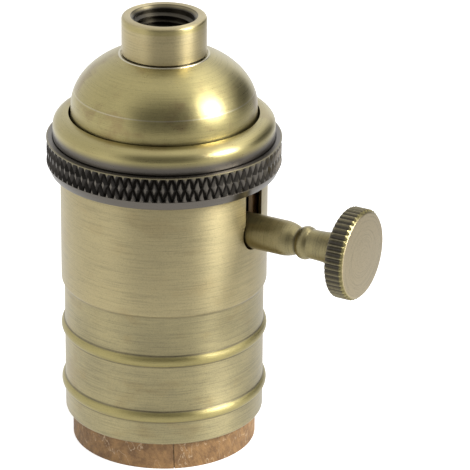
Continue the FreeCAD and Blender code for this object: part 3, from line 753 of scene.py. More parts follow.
class SocketSizes(bpy.types.PropertyGroup):
    """Sizes of the fine forms that the solids leave out."""

    neck_pitch: FloatProperty(
        name="Neck thread pitch",
        description="Rise of the neck's thread in one turn",
        default=1.0 * MM,
        unit="LENGTH",
    )
    bulb_pitch: FloatProperty(
        name="Bulb thread pitch",
        description="Rise of the rolled thread in one turn",
        default=3.63 * MM,
        unit="LENGTH",
    )
    knurl_count: IntProperty(
        name="Knurl points",
        description="Diamonds in one row round the ring",
        default=84,
        min=12,
    )
    tip_share: FloatProperty(
        name="Tip width",
        description="Share of each diamond that is flat on top",
        default=0.3,
        subtype="FACTOR",
        min=0.05,
        max=0.9,
    )
    edge_rounding: FloatProperty(
        name="Edge rounding",
        description="Radius on the turned edges",
        default=0.12 * MM,
        unit="LENGTH",
    )


def colour_property(name, description, default):
    """A colour that a user can change."""
    return FloatVectorProperty(
        name=name, description=description, default=default, subtype="COLOR", min=0, max=1
    )


class SocketColours(bpy.types.PropertyGroup):
    """Colours of the finishes."""

    brass: colour_property("Brass", "Aged brass where it was rubbed", (0.47, 0.405, 0.21))
    brass_dark: colour_property("Dull brass", "Aged brass where it dulled", (0.34, 0.30, 0.165))
    brass_deep: colour_property("Deep brass", "Yellower brass, unbrushed", (0.46, 0.39, 0.145))
    brass_red: colour_property("Warm brass", "Warmer stain in the brass", (0.33, 0.25, 0.11))
    # Lighter brass, also painted above the shell's step as painted light
    brass_lighter: colour_property("Rubbed brass", "Lighter brushed brass", (0.64, 0.53, 0.285))
    # Also painted on the dome's seat edge as a painted highlight
    brass_pale: colour_property("Pale brass", "Brass on worn edges", (0.66, 0.61, 0.46))
    brass_olive: colour_property("Old brass", "Unpolished brass on the stem", (0.24, 0.19, 0.07))
    brass_matte: colour_property("Matte brass", "Rubbed face of the knob", (0.52, 0.43, 0.26))
    smoked: colour_property("Smoked brass", "Polished brass, darkened", (0.15, 0.134, 0.112))
    # Also painted as shade in hollows, creases, the neck's bore and on down-facing sides of the
    # knurl
    patina_and_shade: colour_property("Patina", "Dark deposit in recesses", (0.03, 0.026, 0.022))
    fibre: colour_property("Fibre", "Brown fibreboard", (0.45, 0.255, 0.1))
    fibre_dark: colour_property("Dark fibre", "Darker fibres", (0.17, 0.09, 0.038))
    # Also painted on the liner's cut edges in the slot as painted light
    fibre_pale: colour_property("Pale fibre", "Cut edge and scratches", (0.62, 0.45, 0.28))
    plain_brass: colour_property("Plain brass", "Brass inside", (0.72, 0.55, 0.27))
    plain_brass_dark: colour_property("Plain brass, dull", "Tarnish", (0.5, 0.37, 0.17))
    bronze: colour_property("Bronze", "Spring bronze", (0.66, 0.42, 0.24))
    bronze_dark: colour_property("Bronze, dull", "Tarnished bronze", (0.42, 0.26, 0.15))
    nickel: colour_property("Nickel", "Nickel plating", (0.66, 0.64, 0.6))
    nickel_dark: colour_property("Nickel, dull", "Dull nickel", (0.46, 0.45, 0.42))
    steel: colour_property("Steel", "Zinc plated steel", (0.55, 0.56, 0.58))
    steel_dark: colour_property("Steel, dull", "Dull zinc", (0.36, 0.37, 0.39))
    phenolic: colour_property("Phenolic", "Black moulding", (0.012, 0.011, 0.01))
    phenolic_light: colour_property("Phenolic flow", "Flow lines", (0.03, 0.027, 0.024))
    floor: colour_property("Floor", "Pale studio floor", (0.8, 0.8, 0.8))


# The pieces

class OBJECT_OT_socket_neck(bpy.types.Operator):
    """Turn the threaded neck collar"""

    bl_idname = "object.socket_neck"
    bl_label = "Neck collar"

    def execute(self, context):
        pitch = context.scene.socket_sizes.neck_pitch / MM
        depth, height = NECK_GROOVE
        stake_top = NECK_FOOT + STAKE_HEIGHT
        mouth_end = NECK_TOP - (NECK_MOUTH - THREAD_ROOT)
        outline = [
            (THREAD_ROOT, NECK_FOOT),
            (STAKE_RADIUS - STAKE_HEIGHT / 2, NECK_FOOT, STAKE_ROUNDING),
            (STAKE_RADIUS, stake_top),
            (SPIGOT_RADIUS, stake_top),
            (SPIGOT_RADIUS, CAP_SEAT),
            (NECK_RADIUS - depth, CAP_SEAT),
            (NECK_RADIUS - depth, CAP_SEAT + height),
            (NECK_RADIUS, CAP_SEAT + height, NECK_FOOT_ROUNDING),
            (NECK_RADIUS, NECK_TOP, NECK_EDGE),
            (NECK_MOUTH, NECK_TOP, NECK_MOUTH_ROUNDING),
            (THREAD_ROOT, mouth_end),
        ]
        collar = turned("threaded_neck", outline)
        join(collar, self.thread(pitch, mouth_end))
        smooth(collar)
        masks = (("brass_lighter", 0.6), ("brass_deep", self.worn_edge),
                 ("patina_and_shade", self.painted_bore_shade))
        brass = brushed_brass("neck brass", masks)
        dress(collar, brass, "neck_collar")
        return {"FINISHED"}

    def thread(self, pitch, top):
        """The thread's ridge, from the collar's foot to the chamfer at its mouth."""
        turns = math.floor((top - NECK_FOOT) / pitch) - 1
        start = top - (turns + 1) * pitch
        flat = THREAD_FLAT * pitch
        gap = THREAD_GAP * pitch
        sunk_gap = 0.4 * gap
        profile = [
            (THREAD_ROOT + THREAD_SINK, start + sunk_gap),
            (THREAD_ROOT, start + gap),
            (THREAD_CREST, start + (pitch - flat) / 2),
            (THREAD_CREST, start + (pitch + flat) / 2),
            (THREAD_ROOT, start + pitch - gap),
            (THREAD_ROOT + THREAD_SINK, start + pitch - sunk_gap),
        ]
        ridge = draw("ridge", profile)
        close_outline(ridge, profile)
        apply_modifier(ridge, "SCREW", screw_offset=pitch * MM, iterations=turns,
                       steps=THREAD_STEPS, render_steps=THREAD_STEPS, use_merge_vertices=False)
        middle = (start + top) / 2
        edit(ridge)
        for above in (True, False):
            def end_edge(edge, above=above):
                height = edge.verts[0].co.z / MM
                return edge.is_boundary and (height > middle) == above

            pick(ridge, end_edge, "EDGE")
            bpy.ops.mesh.edge_face_add()
        seal(ridge)
        return ridge

    def worn_edge(self, radius, along):
        """Yellower brass under the rounded top edge."""
        return abs(along - (NECK_TOP - 0.7)).rise(0.7, 0.2) * radius.rise(6.5, 6.7) * 0.6

    def painted_bore_shade(self, radius, along):
        """Painted shade down the bore and in the groove at the neck's foot, lighter on a band in
        the chamfer at the mouth.
        """
        bore = radius.rise(NECK_MOUTH + 0.05, NECK_MOUTH - 0.1)
        flat = abs(radius - 5.28).rise(0.2, 0.1) * along.rise(NECK_TOP - 0.7, NECK_TOP)
        bore = bore * (1 - flat * 0.5)
        groove = radius.rise(NECK_RADIUS, NECK_RADIUS - 0.2) * along.rise(
            CAP_SEAT + 0.5, CAP_SEAT + 0.2)
        return (bore * 0.93 + groove * 0.9).clamp()


class OBJECT_OT_socket_cap(bpy.types.Operator):
    """Spin the dome cap"""

    bl_idname = "object.socket_cap"
    bl_label = "Dome cap"

    def execute(self, context):
        inner = CAP_RADIUS - CAP_WALL
        inner_high = CROWN_HEIGHT - CAP_WALL
        under = CAP_SEAT - CAP_SEAT_WALL
        under_radius = inner * math.sqrt(1 - ((under - CROWN_BASE) / inner_high) ** 2)
        outside = crown(CAP_RADIUS, CROWN_HEIGHT, CROWN_BASE, CAP_RADIUS, CAP_SEAT_RADIUS)
        inside = crown(inner, inner_high, CROWN_BASE, under_radius, inner)
        outline = [
            (inner, CAP_FOOT),
            (CAP_FLANGE_RADIUS, CAP_FOOT, FLANGE_ROUNDINGS[0]),
            (CAP_FLANGE_RADIUS, CAP_FOOT + CAP_FLANGE, FLANGE_ROUNDINGS[1]),
            (CAP_RADIUS, CAP_FOOT + CAP_FLANGE),
        ]
        outline += outside
        lip_inner, lip_outer, lip_top = SEAT_LIP
        outline += [
            (lip_outer, CAP_SEAT + lip_top, SEAT_LIP_ROUNDING),
            (lip_inner, CAP_SEAT + lip_top, SEAT_LIP_ROUNDING),
            (lip_inner, CAP_SEAT),
            (CAP_HOLE, CAP_SEAT),
            (CAP_HOLE, under),
        ]
        outline += inside
        cap = turned("cap", outline)
        smooth(cap)
        masks = (("brass_pale", self.scribed_line), ("brass_pale", self.painted_seat_glint))
        brass = brushed_brass("cap brass", masks, depth=0.6, rough=0.3, brushing=0.9,
                              grain_pull=0.75, stained=0.8)
        dress(cap, brass, "dome_cap")
        return {"FINISHED"}

    def scribed_line(self, radius, along):
        """The fine pale line round the crown."""
        return abs(along - (CROWN_BASE + 2.7)).rise(0.16, 0.04) * 0.4

    def painted_seat_glint(self, radius, along):
        """Painted highlight: pale brass on the seat's raised edge round the neck's foot, standing
        in for its glint.
        """
        return along.rise(CAP_SEAT - 0.02, CAP_SEAT + 0.04)


class OBJECT_OT_socket_ring(bpy.types.Operator):
    """Turn and knurl the union ring"""

    bl_idname = "object.socket_ring"
    bl_label = "Union ring"

    def execute(self, context):
        knurl_foot = RING_FOOT + CONE_HEIGHT
        knurl_end = knurl_foot + KNURL_ROWS * KNURL_ROW
        rim_top = knurl_end + RIM_LAND
        wall_top = rim_top + SHOULDER_WALL
        groove = SHOULDER_GROOVE
        lip = crown(SHOULDER_RADIUS - LIP_BORE, RING_TOP - wall_top, wall_top,
                    SHOULDER_RADIUS - LIP_BORE, 0, steps=14)
        outline = [
            (RING_BORE, RING_FOOT),
            (CONE_START, RING_FOOT, CONE_ROUNDING),
            (RING_RADIUS, knurl_foot, KNURL_ROUNDING),
            (KNURL_BACKING, knurl_foot),
            (KNURL_BACKING, knurl_end),
            (RING_RADIUS, knurl_end, KNURL_ROUNDING),
            (RING_RADIUS, rim_top, RIM_CHAMFER),
            (SHOULDER_RADIUS + groove, rim_top, GROOVE_ROUNDING),
            (SHOULDER_RADIUS - groove, rim_top - groove),
            (SHOULDER_RADIUS, rim_top + groove, GROOVE_ROUNDING),
        ]
        outline += [(LIP_BORE + across, height) for across, height in lip]
        outline += [(LIP_BORE, LEDGE), (RING_BORE, LEDGE)]
        ring = turned("ring", outline)
        join(ring, self.knurl(context.scene.socket_sizes, knurl_foot, knurl_end))
        smooth(ring, RING_SMOOTH_ANGLE)
        dress(ring, self.brass(knurl_foot, knurl_end, rim_top), "union_ring")
        return {"FINISHED"}

    def knurl(self, sizes, foot, end):
        """Diamonds with flat tips, from a ring of points pushed in at every other one."""
        columns = 2 * sizes.knurl_count
        peak = KNURL_ROOT + (KNURL_TIP - KNURL_ROOT) / (1 - sizes.tip_share)
        rest()
        bpy.ops.mesh.primitive_circle_add(vertices=columns, radius=peak * MM)
        band = bpy.context.object
        edit(band)
        pick_all()
        bpy.ops.transform.translate(value=(0, 0, foot * MM))
        for row in range(KNURL_ROWS):
            move = {"value": (0, 0, KNURL_ROW * MM)}
            bpy.ops.mesh.extrude_edges_move(TRANSFORM_OT_translate=move)

        def valley(vertex):
            row = round((vertex.co.z / MM - foot) / KNURL_ROW)
            return (column(vertex, columns) + row) % 2 == 0

        pick(band, valley)
        narrow(KNURL_ROOT / peak)
        pick(band, lambda face: True, "FACE")
        bpy.ops.mesh.quads_convert_to_tris(quad_method="SHORTEST_DIAGONAL")
        pick(band, lambda vertex: not valley(vertex))
        bpy.ops.mesh.bevel(affect="VERTICES", offset_type="PERCENT",
                           offset_pct=100 * sizes.tip_share, segments=1)
        bpy.ops.mesh.select_mode(type="EDGE")
        bpy.ops.mesh.select_all(action="DESELECT")
        bpy.ops.mesh.select_non_manifold()
        bpy.ops.mesh.extrude_edges_move()
        narrow((KNURL_BACKING + KNURL_OVERLAP) / KNURL_TIP)
        bpy.ops.mesh.bridge_edge_loops()
        seal(band)
        return band

    def brass(self, foot, end, rim_top):
        """Brass smoked dark below its rounded shoulder, with dark deposit and painted shade in the
        hollows and painted shade on the diamonds' down-facing sides.
        """
        wall_top = rim_top + SHOULDER_WALL

        def smoked(radius, along):
            return along.rise(wall_top + 0.1, wall_top - 1.2)

        # Dark deposit and painted shade in the knurl's hollows, and painted shade in the groove
        # under the shoulder
        def deposit_and_shade(radius, along):
            band = along.rise(foot - 0.12, foot) * along.rise(end + 0.12, end)
            low = radius.rise(KNURL_TIP - 0.2, KNURL_TIP - 0.5)
            groove = abs(along - rim_top).rise(0.25, 0.1) * radius.rise(
                SHOULDER_RADIUS + 0.3, SHOULDER_RADIUS + 0.15)
            return (band * low * 0.6 + groove * 0.6).clamp()

        def painted_flank_shade(paint, radius, along, first, second):
            """Painted shade on the diamonds' sides that face down and one way round the ring."""
            normal = paint.node("ShaderNodeTexCoord", {}, {}).outputs["Normal"]
            x, y, z = paint.parts(normal)
            around = (y * first - x * second) / radius
            band = along.rise(foot, foot + 0.05) * along.rise(end, end - 0.05)
            return (around - z * 0.8).rise(0.1, 0.4) * band * 0.93

        def worn(radius, along):
            edge = along.rise(end - 0.5, end) * radius.rise(KNURL_TIP - 0.3, KNURL_TIP - 0.1)
            return edge * along.rise(rim_top + 0.1, rim_top) * 0.25

        masks = (("smoked", smoked), ("patina_and_shade", deposit_and_shade), ("brass_deep", worn))
        return brushed_brass("ring brass", masks, depth=0.6, rough=0.3, brushing=0.5,
                             grain_pull=0.8, painted_flank_shade=painted_flank_shade)


class OBJECT_OT_socket_shell(bpy.types.Operator):
    """Draw the shell with its beads, step and slot"""

    bl_idname = "object.socket_shell"
    bl_label = "Shell"

    def execute(self, context):
        rounding = context.scene.socket_sizes.edge_rounding / MM
        bore = LINER_RADIUS + LINER_GAP
        inner = SHELL_LOWER_RADIUS - SHELL_WALL
        outline = [
            (bore, SHELL_FOOT, SHELL_FOOT_ROUNDING),
            (SHELL_LOWER_RADIUS, SHELL_FOOT, SHELL_WALL),
        ]
        for place in BEAD_PLACES:
            bead = bow((SHELL_LOWER_RADIUS, place - BEAD_HALF_WIDTH),
                       (SHELL_LOWER_RADIUS + BEAD_RISE, place),
                       (SHELL_LOWER_RADIUS, place + BEAD_HALF_WIDTH), steps=16)
            outline += [bead[0] + (rounding,)] + bead[1:-1] + [bead[-1] + (rounding,)]
        outline += [
            (SHELL_LOWER_RADIUS, STEP_TOP - STEP_RUN, STEP_ROUNDING),
            (SHELL_RADIUS, STEP_TOP, STEP_ROUNDING),
            (SHELL_RADIUS, SHELL_TOP, SHELL_RIM_ROUNDING),
            (SHELL_RADIUS - SHELL_WALL, SHELL_TOP, SHELL_RIM_ROUNDING),
            (SHELL_RADIUS - SHELL_WALL, STEP_TOP + SHELL_WALL, STEP_ROUNDING),
            (inner, STEP_TOP + SHELL_WALL - STEP_RUN, STEP_ROUNDING),
        ]
        inner_half = BEAD_HALF_WIDTH - SHELL_WALL / 2
        for place in reversed(BEAD_PLACES):
            outline += bow((inner, place + inner_half), (inner + BEAD_RISE, place),
                           (inner, place - inner_half), steps=10)
        outline += [(inner, SHELL_FOOT + SHELL_WALL), (bore, SHELL_FOOT + SHELL_WALL)]
        shell = turned("brass_shell", outline)
        cut_slot(shell, 2 * SHELL_RADIUS)
        smooth(shell)
        masks = (("brass_lighter", self.painted_light_above_step), ("patina_and_shade", self.painted_bead_shade),
                 ("brass_deep", self.beads))
        brass = brushed_brass("shell brass", masks, rough=0.4, brushing=1.2)
        dress(shell, brass, "shell")
        return {"FINISHED"}

    def painted_light_above_step(self, radius, along):
        """Lighter brass over all the shell, and painted light above the step, where the highlight
        is brighter than on the lower shell.
        """
        return along.rise(STEP_TOP - 1.0, STEP_TOP) * 0.3 + 0.18

    def painted_bead_shade(self, radius, along):
        """Painted shade in the corners beside the beads and under the step, and over the shell's
        inside.
        """
        lines = abs(along - (STEP_TOP - STEP_RUN)).rise(0.3, 0.05) * 0.3
        for place in BEAD_PLACES:
            from_foot = abs(abs(along - place) - BEAD_HALF_WIDTH)
            lines = lines + from_foot.rise(0.28, 0.05) * 0.45
        inside = radius.rise(SHELL_LOWER_RADIUS - 0.1, SHELL_LOWER_RADIUS - 0.4) * 0.6
        return (lines + inside).clamp()

    def beads(self, radius, along):
        """Yellower brass on the beads, where the brush didn't reach."""
        out = radius.rise(SHELL_LOWER_RADIUS + 0.05, SHELL_LOWER_RADIUS + 0.3)
        return out * along.rise(STEP_TOP - 1.5, STEP_TOP - 2.0) * 0.8


class OBJECT_OT_socket_liner(bpy.types.Operator):
    """Roll the fibre liner with its butt seam and slot"""

    bl_idname = "object.socket_liner"
    bl_label = "Insulating liner"

    def execute(self, context):
        bore = LINER_RADIUS - LINER_WALL
        outline = [
            (bore, 0.0, LINER_EDGES[0]),
            (LINER_RADIUS, 0.0, LINER_EDGES[1]),
            (LINER_RADIUS, SHELL_TOP),
            (bore, SHELL_TOP),
        ]
        liner = turned("fibre_liner", outline)
        cut(liner, self.seam())
        cut_slot(liner, 2 * LINER_RADIUS)
        smooth(liner)
        dress(liner, fibreboard("fibreboard"), "insulating_liner")
        return {"FINISHED"}

    def seam(self):
        """A thin wavy blade that cuts the groove where the tube's ends meet."""
        steps = 24
        half = SEAM_WIDTH / 2
        heights = [-0.5 + (SHELL_TOP + 1) * step / steps for step in range(steps + 1)]

        def sway(height):
            return sum(reach * math.sin(height * rate) for reach, rate in SEAM_SWAY)

        outline = [(sway(height) - half, height) for height in heights]
        outline += [(sway(height) + half, height) for height in reversed(heights)]
        blade = draw("seam", outline)
        pick_all()
        bpy.ops.mesh.edge_face_add()
        deep = LINER_RADIUS - SEAM_DEPTH
        bpy.ops.transform.translate(value=(0, deep * MM, 0))
        move = {"value": (0, 2 * SEAM_DEPTH * MM, 0)}
        bpy.ops.mesh.extrude_region_move(TRANSFORM_OT_translate=move)
        pick_all()
        bpy.ops.transform.rotate(value=math.pi / 2 - SEAM_ANGLE, orient_axis="Z",
                                 center_override=(0, 0, 0))
        seal(blade)
        return blade


class OBJECT_OT_socket_knob(bpy.types.Operator):
    """Turn the knob's stem and cut its toothed disc"""

    bl_idname = "object.socket_knob"
    bl_label = "Knob"

    def execute(self, context):
        disc_back = KNOB_FACE - DISC_THICKNESS
        waist = STEM_END + OGIVE_LENGTH
        neck = waist + BEAD_LENGTH
        flare = disc_back - neck
        across, along = OGIVE_BOW
        ogive = bow((STEM_RADIUS, STEM_END),
                    (STEM_RADIUS - (STEM_RADIUS - WAIST_RADIUS) * across,
                     STEM_END + OGIVE_LENGTH * along),
                    (WAIST_RADIUS, waist), steps=12)
        bead = bow((WAIST_RADIUS, waist), (BEAD_RADIUS, waist + BEAD_LENGTH / 2),
                   (FLARE_NECK_RADIUS, neck), steps=14)
        across, along = FLARE_BOW
        spread = FLARE_RADIUS - FLARE_NECK_RADIUS
        trumpet = bow((FLARE_NECK_RADIUS, neck),
                      (FLARE_NECK_RADIUS + spread * across, neck + flare * along),
                      (FLARE_RADIUS, disc_back), steps=14)
        outline = [
            (STEM_BORE, KNOB_BACK),
            (STEM_RADIUS - STEM_CHAMFER, KNOB_BACK, STEM_ROUNDING),
            (STEM_RADIUS, KNOB_BACK + STEM_CHAMFER, STEM_ROUNDING),
        ]
        outline += ogive[:-1] + [ogive[-1] + (BEAD_CORNER,)] + bead[1:-1]
        outline += [bead[-1] + (BEAD_CORNER,)] + trumpet[1:]
        inside_disc = disc_back + 0.2
        outline += [(FLARE_RADIUS, inside_disc), (STEM_BORE, inside_disc)]
        stem = turned("turn_knob_body", outline, steps=STEM_STEPS)
        join(stem, self.disc(disc_back))
        onto_knob_axis(stem)
        smooth(stem, KNOB_SMOOTH_ANGLE)
        dress(stem, self.brass(disc_back), "knob", body="turn_knob")
        return {"FINISHED"}

    def disc(self, back):
        """A disc with rounded grooves between narrow teeth, chamfered by a turned blank."""
        columns = TOOTH_COUNT * TOOTH_STEPS
        margin = 0.5
        rest()
        bpy.ops.mesh.primitive_circle_add(vertices=columns, radius=DISC_RADIUS * MM,
                                          fill_type="NGON")
        star = bpy.context.object
        edit(star)
        pick_all()
        bpy.ops.transform.translate(value=(0, 0, (back - margin) * MM))
        for step in range(TOOTH_LAND_STEPS + 1, TOOTH_STEPS):
            share = (step - TOOTH_LAND_STEPS) / (TOOTH_STEPS - TOOTH_LAND_STEPS)
            depth = TOOTH_DEPTH * math.sin(math.pi * share) ** TOOTH_FULLNESS

            def at_step(vertex, step=step):
                return column(vertex, columns) % TOOTH_STEPS == step

            pick(star, at_step)
            narrow(1 - depth / DISC_RADIUS)
        pick_all()
        move = {"value": (0, 0, (DISC_THICKNESS + 2 * margin) * MM)}
        bpy.ops.mesh.extrude_region_move(TRANSFORM_OT_translate=move)
        seal(star)
        over = 0.02
        fine, soft = DISC_ROUNDINGS
        blank = turned("blank", [
            (0.0, back),
            (DISC_RADIUS - DISC_BACK_CHAMFER, back, fine),
            (DISC_RADIUS + over, back + DISC_BACK_CHAMFER, fine),
            (DISC_RADIUS + over, KNOB_FACE - DISC_FACE_CHAMFER - over),
            (DISC_RADIUS - DISC_FACE_CHAMFER, KNOB_FACE, soft),
            (0.0, KNOB_FACE),
        ], steps=columns)
        cut(star, blank, "INTERSECT")
        return star

    def brass(self, back):
        """Brass with dark grooves and a bright chamfer round the face."""
        # Dark deposit and painted shade in the grooves between the teeth, and painted shade in the
        # crease at the stem's waist
        def deposit_and_shade(radius, along):
            disc = along.rise(back, back + 0.1) * along.rise(KNOB_FACE - 0.02, KNOB_FACE - 0.3)
            low = radius.rise(DISC_RADIUS - 0.08, DISC_RADIUS - 0.36)
            foot = abs(along - STEM_END - OGIVE_LENGTH).rise(0.25, 0.05) * 0.5
            return (disc * low * 0.82 + foot).clamp()

        def bright(radius, along):
            edge = along.rise(KNOB_FACE - 0.75, KNOB_FACE - 0.5)
            return edge * radius.rise(DISC_RADIUS - 0.7, DISC_RADIUS - 0.5) * 0.5

        def face(radius, along):
            return along.rise(KNOB_FACE - 0.15, KNOB_FACE - 0.03)

        # Olive brass over the stem and flare, darker towards the shell
        def stem(radius, along):
            bare = along.rise(STEM_END + 2.5, STEM_END - 2.5) * 0.45 + 0.4
            return bare * along.rise(back + 0.1, back)

        def side(radius, along):
            rim = along.rise(back - 0.05, back) * along.rise(KNOB_FACE - 0.4, KNOB_FACE - 0.6)
            return rim * radius.rise(DISC_RADIUS - 0.8, DISC_RADIUS - 0.6) * 0.5

        masks = (("brass_olive", stem), ("smoked", side), ("patina_and_shade", deposit_and_shade),
                 ("brass_deep", bright), ("brass_matte", face))
        return brushed_brass("knob brass", masks, on_knob=True, brushing=1.5)


class OBJECT_OT_socket_cup(bpy.types.Operator):
    """Roll the screw shell's thread"""

    bl_idname = "object.socket_cup"
    bl_label = "Screw shell"

    def execute(self, context):
        pitch = context.scene.socket_sizes.bulb_pitch / MM
        steps = 16
        wave = []
        for step in range(steps + 1):
            swing = (1 + math.cos(math.tau * step / steps)) / 2
            radius = BULB_ROOT + (BULB_CREST - BULB_ROOT) * swing
            wave.append((radius, ROLLED_FROM - pitch + pitch * step / steps))
        cup = draw("rolled_cup", wave)
        turns = math.ceil((ROLLED_TO - ROLLED_FROM) / pitch) + 2
        apply_modifier(cup, "SCREW", screw_offset=pitch * MM, iterations=turns,
                       steps=THREAD_STEPS, render_steps=THREAD_STEPS,
                       use_merge_vertices=True, merge_threshold=1e-6)
        edit(cup)
        for height, keep_above in ((ROLLED_FROM, True), (ROLLED_TO, False)):
            pick_all()
            bpy.ops.mesh.bisect(plane_co=(0, 0, height * MM), plane_no=(0, 0, 1),
                                clear_inner=keep_above, clear_outer=not keep_above)
        seal(cup)
        lip_foot = CUP_MOUTH + 0.05
        mouth_end = ROLLED_FROM - 0.5
        neck_foot = ROLLED_TO + 0.8
        floor = CUP_TOP - CUP_WALL
        lower = self.collar("mouth", [
            (BULB_CREST + CUP_LIP, lip_foot),
            (BULB_CREST, lip_foot + CUP_LIP_HEIGHT),
            (BULB_CREST, mouth_end),
        ])
        upper = self.collar("crown", [
            (CUP_NECK, neck_foot),
            (CUP_NECK, floor - CUP_SHOULDER),
            (CUP_NECK - CUP_SHOULDER, floor),
            (CUP_HOLE, floor),
        ])
        join(cup, lower, upper)
        self.bridge(cup, mouth_end, ROLLED_FROM)
        self.bridge(cup, ROLLED_TO, neck_foot)
        seal(cup)
        apply_modifier(cup, "SOLIDIFY", thickness=CUP_SHEET * MM, offset=1.0)
        smooth(cup, CUP_SMOOTH_ANGLE)
        brass = plain_metal("cup brass", "plain_brass", "plain_brass_dark", 0.2)
        dress(cup, brass, "screw_shell")
        return {"FINISHED"}

    def collar(self, name, outline):
        """An open turned sheet."""
        piece = draw(name, outline)
        spin_drawn(piece, THREAD_STEPS)
        return piece

    def bridge(self, cup, low, high):
        """Bridge the open edges at two heights."""
        margin = 0.01

        def rim(edge):
            heights = [vertex.co.z / MM for vertex in edge.verts]
            level = any(all(abs(h - z) < margin for h in heights) for z in (low, high))
            return edge.is_boundary and level

        edit(cup)
        pick(cup, rim, "EDGE")
        bpy.ops.mesh.bridge_edge_loops()
        rest()


class OBJECT_OT_socket_inner(bpy.types.Operator):
    """Finish the switch and contacts inside"""

    bl_idname = "object.socket_inner"
    bl_label = "Switch and contacts"

    def execute(self, context):
        phenolic = moulded_phenolic("black moulding")
        bronze = plain_metal("spring bronze", "bronze", "bronze_dark", 0.25)
        brass = plain_metal("plain brass", "plain_brass", "plain_brass_dark", 0.22)
        nickel = plain_metal("nickel plate", "nickel", "nickel_dark", 0.18)
        steel = plain_metal("zinc plate", "steel", "steel_dark", 0.3)
        finishes = {
            phenolic: ("switch_housing", "housing_cover", "rotor"),
            bronze: ("load_blade", "centre_contact", "contact_bridge", "detent_spring"),
            brass: ("line_terminal", "line_screw", "screw_shell_rivets", "centre_rivet",
                    "shaft_bushing"),
            nickel: ("neutral_terminal", "neutral_screw"),
            steel: ("cover_screws", "switch_shaft", "shaft_clip"),
        }
        for material, nodes in finishes.items():
            for node in nodes:
                dress_node(node, material)
        return {"FINISHED"}


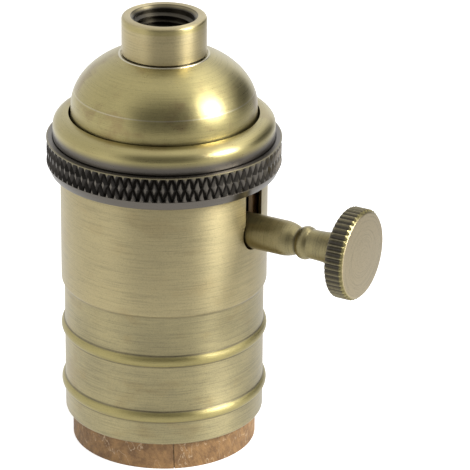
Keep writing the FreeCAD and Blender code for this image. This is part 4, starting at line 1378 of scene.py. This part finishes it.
class OBJECT_OT_socket_stage(bpy.types.Operator):
    """Set up the floor, lights and camera"""

    bl_idname = "object.socket_stage"
    bl_label = "Stage"

    def execute(self, context):
        self.floor()
        self.world(context.scene)
        self.lamp("key softbox", **KEY_LAMP)
        self.camera(context.scene)
        context.scene.view_settings.view_transform = "Standard"
        return {"FINISHED"}

    def towards(self, turn, height):
        """The direction at degrees to the right of the camera's side and above the floor."""
        angle = CAMERA_AZIMUTH - math.pi / 2 + math.radians(turn)
        up = math.radians(height)
        return Vector((math.cos(angle) * math.cos(up), math.sin(angle) * math.cos(up),
                       math.sin(up)))

    def within(self, facing, wide, full):
        """1 near a direction and 0 past a width in degrees, from the cosine of the angle to it."""
        return facing.rise(*(math.cos(math.radians(angle)) for angle in (wide, wide * full)))

    def floor(self):
        """A pale floor that looks white, keeps a soft shadow and is shaded in reflections."""
        rest()
        bpy.ops.mesh.primitive_plane_add(size=FLOOR_WIDTH)
        floor = bpy.context.object
        floor.name = "studio_floor"
        paint = Paint("studio floor")
        x, y, _ = paint.axes()
        distance = (x * x + y * y).root()

        def sector(turn, wide):
            towards = self.towards(turn, 0)
            return self.within((x * towards.x + y * towards.y) / distance, wide, 0.4)

        def shader(kind, values):
            return paint.node("ShaderNode" + kind, {}, values).outputs[0]

        rays, seen = paint.seen()
        shade = 0.0
        for turn, wide, share in FLOOR_SHADES:
            shade = sector(turn, wide) * share + shade
        level = (1 - shade * distance.rise(*FLOOR_FADE)).clamp()
        mirrored = paint.blend(level, BLACK, WHITE)
        reflected = shader("Emission", {"Color": mirrored, "Strength": 1.0})
        glow = shader("Emission", {"Color": WHITE, "Strength": FLOOR_GLOW})
        pale = shader("BsdfDiffuse", {"Color": colour("floor")})
        both = shader("AddShader", {0: glow, 1: pale})
        plain = shader("MixShader", {0: seen, 1: pale, 2: both})
        mix = shader("MixShader", {0: rays["Is Glossy Ray"], 1: plain, 2: reflected})
        paint.tree.links.new(mix, paint.output.inputs["Surface"])
        floor.data.materials.append(paint.material)

    def world(self, scene):
        """A white surround that is reflected as a room with dim and bright patches."""
        world = bpy.data.worlds.new("studio")
        scene.world = world
        world.use_nodes = True
        sky = Nodes(world.node_tree)
        rays, seen = sky.seen()
        place = sky.node("ShaderNodeTexCoord", {}, {}).outputs["Generated"]

        def patch(turn, height, wide, depth):
            """The share of light towards a direction, 1 outside its width."""
            dot = sky.node("ShaderNodeVectorMath", {"operation": "DOT_PRODUCT"},
                           {0: place, 1: self.towards(turn, height)})
            facing = Number(sky, dot.outputs["Value"])
            return self.within(facing, wide, 0.35) * (depth - 1) + 1

        def choice(share, first, second):
            values = {0: share, 2: first, 3: second}
            return sky.number("ShaderNodeMix", {"data_type": "FLOAT"}, values)

        bright = ROOM_BRIGHTNESS
        for area in ROOM_PATCHES:
            bright = patch(*area) * bright
        white = choice(rays["Is Camera Ray"], bright, 1.0)
        level = choice(seen, ROOM_LIGHT, white)
        background = sky.node("ShaderNodeBackground", {}, {0: WHITE, 1: level})
        sky.node("ShaderNodeOutputWorld", {}, {"Surface": background.outputs[0]})

    def lamp(self, name, turn, height, distance, size, power, lean):
        """A soft rectangular lamp that faces the socket, leaning by degrees to the right."""
        light = bpy.data.lights.new(name, "AREA")
        light.shape = "RECTANGLE"
        light.size = size[0] * MM
        light.size_y = size[1] * MM
        light.energy = power
        lamp = bpy.data.objects.new(name, light)
        bpy.context.scene.collection.objects.link(lamp)
        away = self.towards(turn, height)
        lamp.location = Vector((0, 0, AIM_HEIGHT * MM)) + away * distance * MM
        lamp.rotation_mode = "QUATERNION"
        roll = Quaternion((0, 0, 1), -math.radians(lean))
        lamp.rotation_quaternion = away.to_track_quat("Z", "Y") @ roll
        lamp.visible_camera = False

    def camera(self, scene):
        """The photograph's viewpoint, turned so that the socket stands left of centre."""
        data = bpy.data.cameras.new("photo camera")
        data.sensor_width = SENSOR
        data.lens = FOCAL_PIXELS / PHOTO_WIDTH * SENSOR
        data.clip_start = 0.01
        data.clip_end = 10
        camera = bpy.data.objects.new("photo camera", data)
        scene.collection.objects.link(camera)
        back = self.towards(0, math.degrees(CAMERA_ELEVATION))
        camera.location = Vector((0, 0, AIM_HEIGHT * MM)) + back * CAMERA_DISTANCE * MM
        turn = math.atan((PHOTO_WIDTH / 2 - AXIS_PIXEL) / FOCAL_PIXELS)
        level = (-back).to_track_quat("-Z", "Y").to_matrix()
        pan = Matrix.Rotation(-turn, 3, "Y")
        camera.rotation_mode = "QUATERNION"
        camera.rotation_quaternion = (level @ pan).to_quaternion()
        scene.camera = camera


class VIEW3D_PT_lamp_socket(bpy.types.Panel):
    """The socket's pieces, sizes and colours"""

    bl_idname = "VIEW3D_PT_lamp_socket"
    bl_label = "Lamp Socket"
    bl_space_type = "VIEW_3D"
    bl_region_type = "UI"
    bl_category = "Lamp Socket"

    def draw(self, context):
        layout = self.layout
        for group in (context.scene.socket_sizes, context.scene.socket_colours):
            for name in group.bl_rna.properties.keys():
                if name not in ("rna_type", "name"):
                    layout.prop(group, name)
        for operator in OPERATORS:
            layout.operator(operator.bl_idname)


OPERATORS = (
    OBJECT_OT_socket_neck,
    OBJECT_OT_socket_cap,
    OBJECT_OT_socket_ring,
    OBJECT_OT_socket_shell,
    OBJECT_OT_socket_liner,
    OBJECT_OT_socket_knob,
    OBJECT_OT_socket_cup,
    OBJECT_OT_socket_inner,
    OBJECT_OT_socket_stage,
)
CLASSES = (SocketSizes, SocketColours) + OPERATORS + (VIEW3D_PT_lamp_socket,)


def register():
    for one in CLASSES:
        bpy.utils.register_class(one)
    bpy.types.Scene.socket_sizes = PointerProperty(type=SocketSizes)
    bpy.types.Scene.socket_colours = PointerProperty(type=SocketColours)


def unregister():
    del bpy.types.Scene.socket_colours
    del bpy.types.Scene.socket_sizes
    for one in reversed(CLASSES):
        bpy.utils.unregister_class(one)


def main():
    register()
    for operator in OPERATORS:
        group, name = operator.bl_idname.split(".")
        getattr(getattr(bpy.ops, group), name)()


if __name__ == "__main__":
    main()
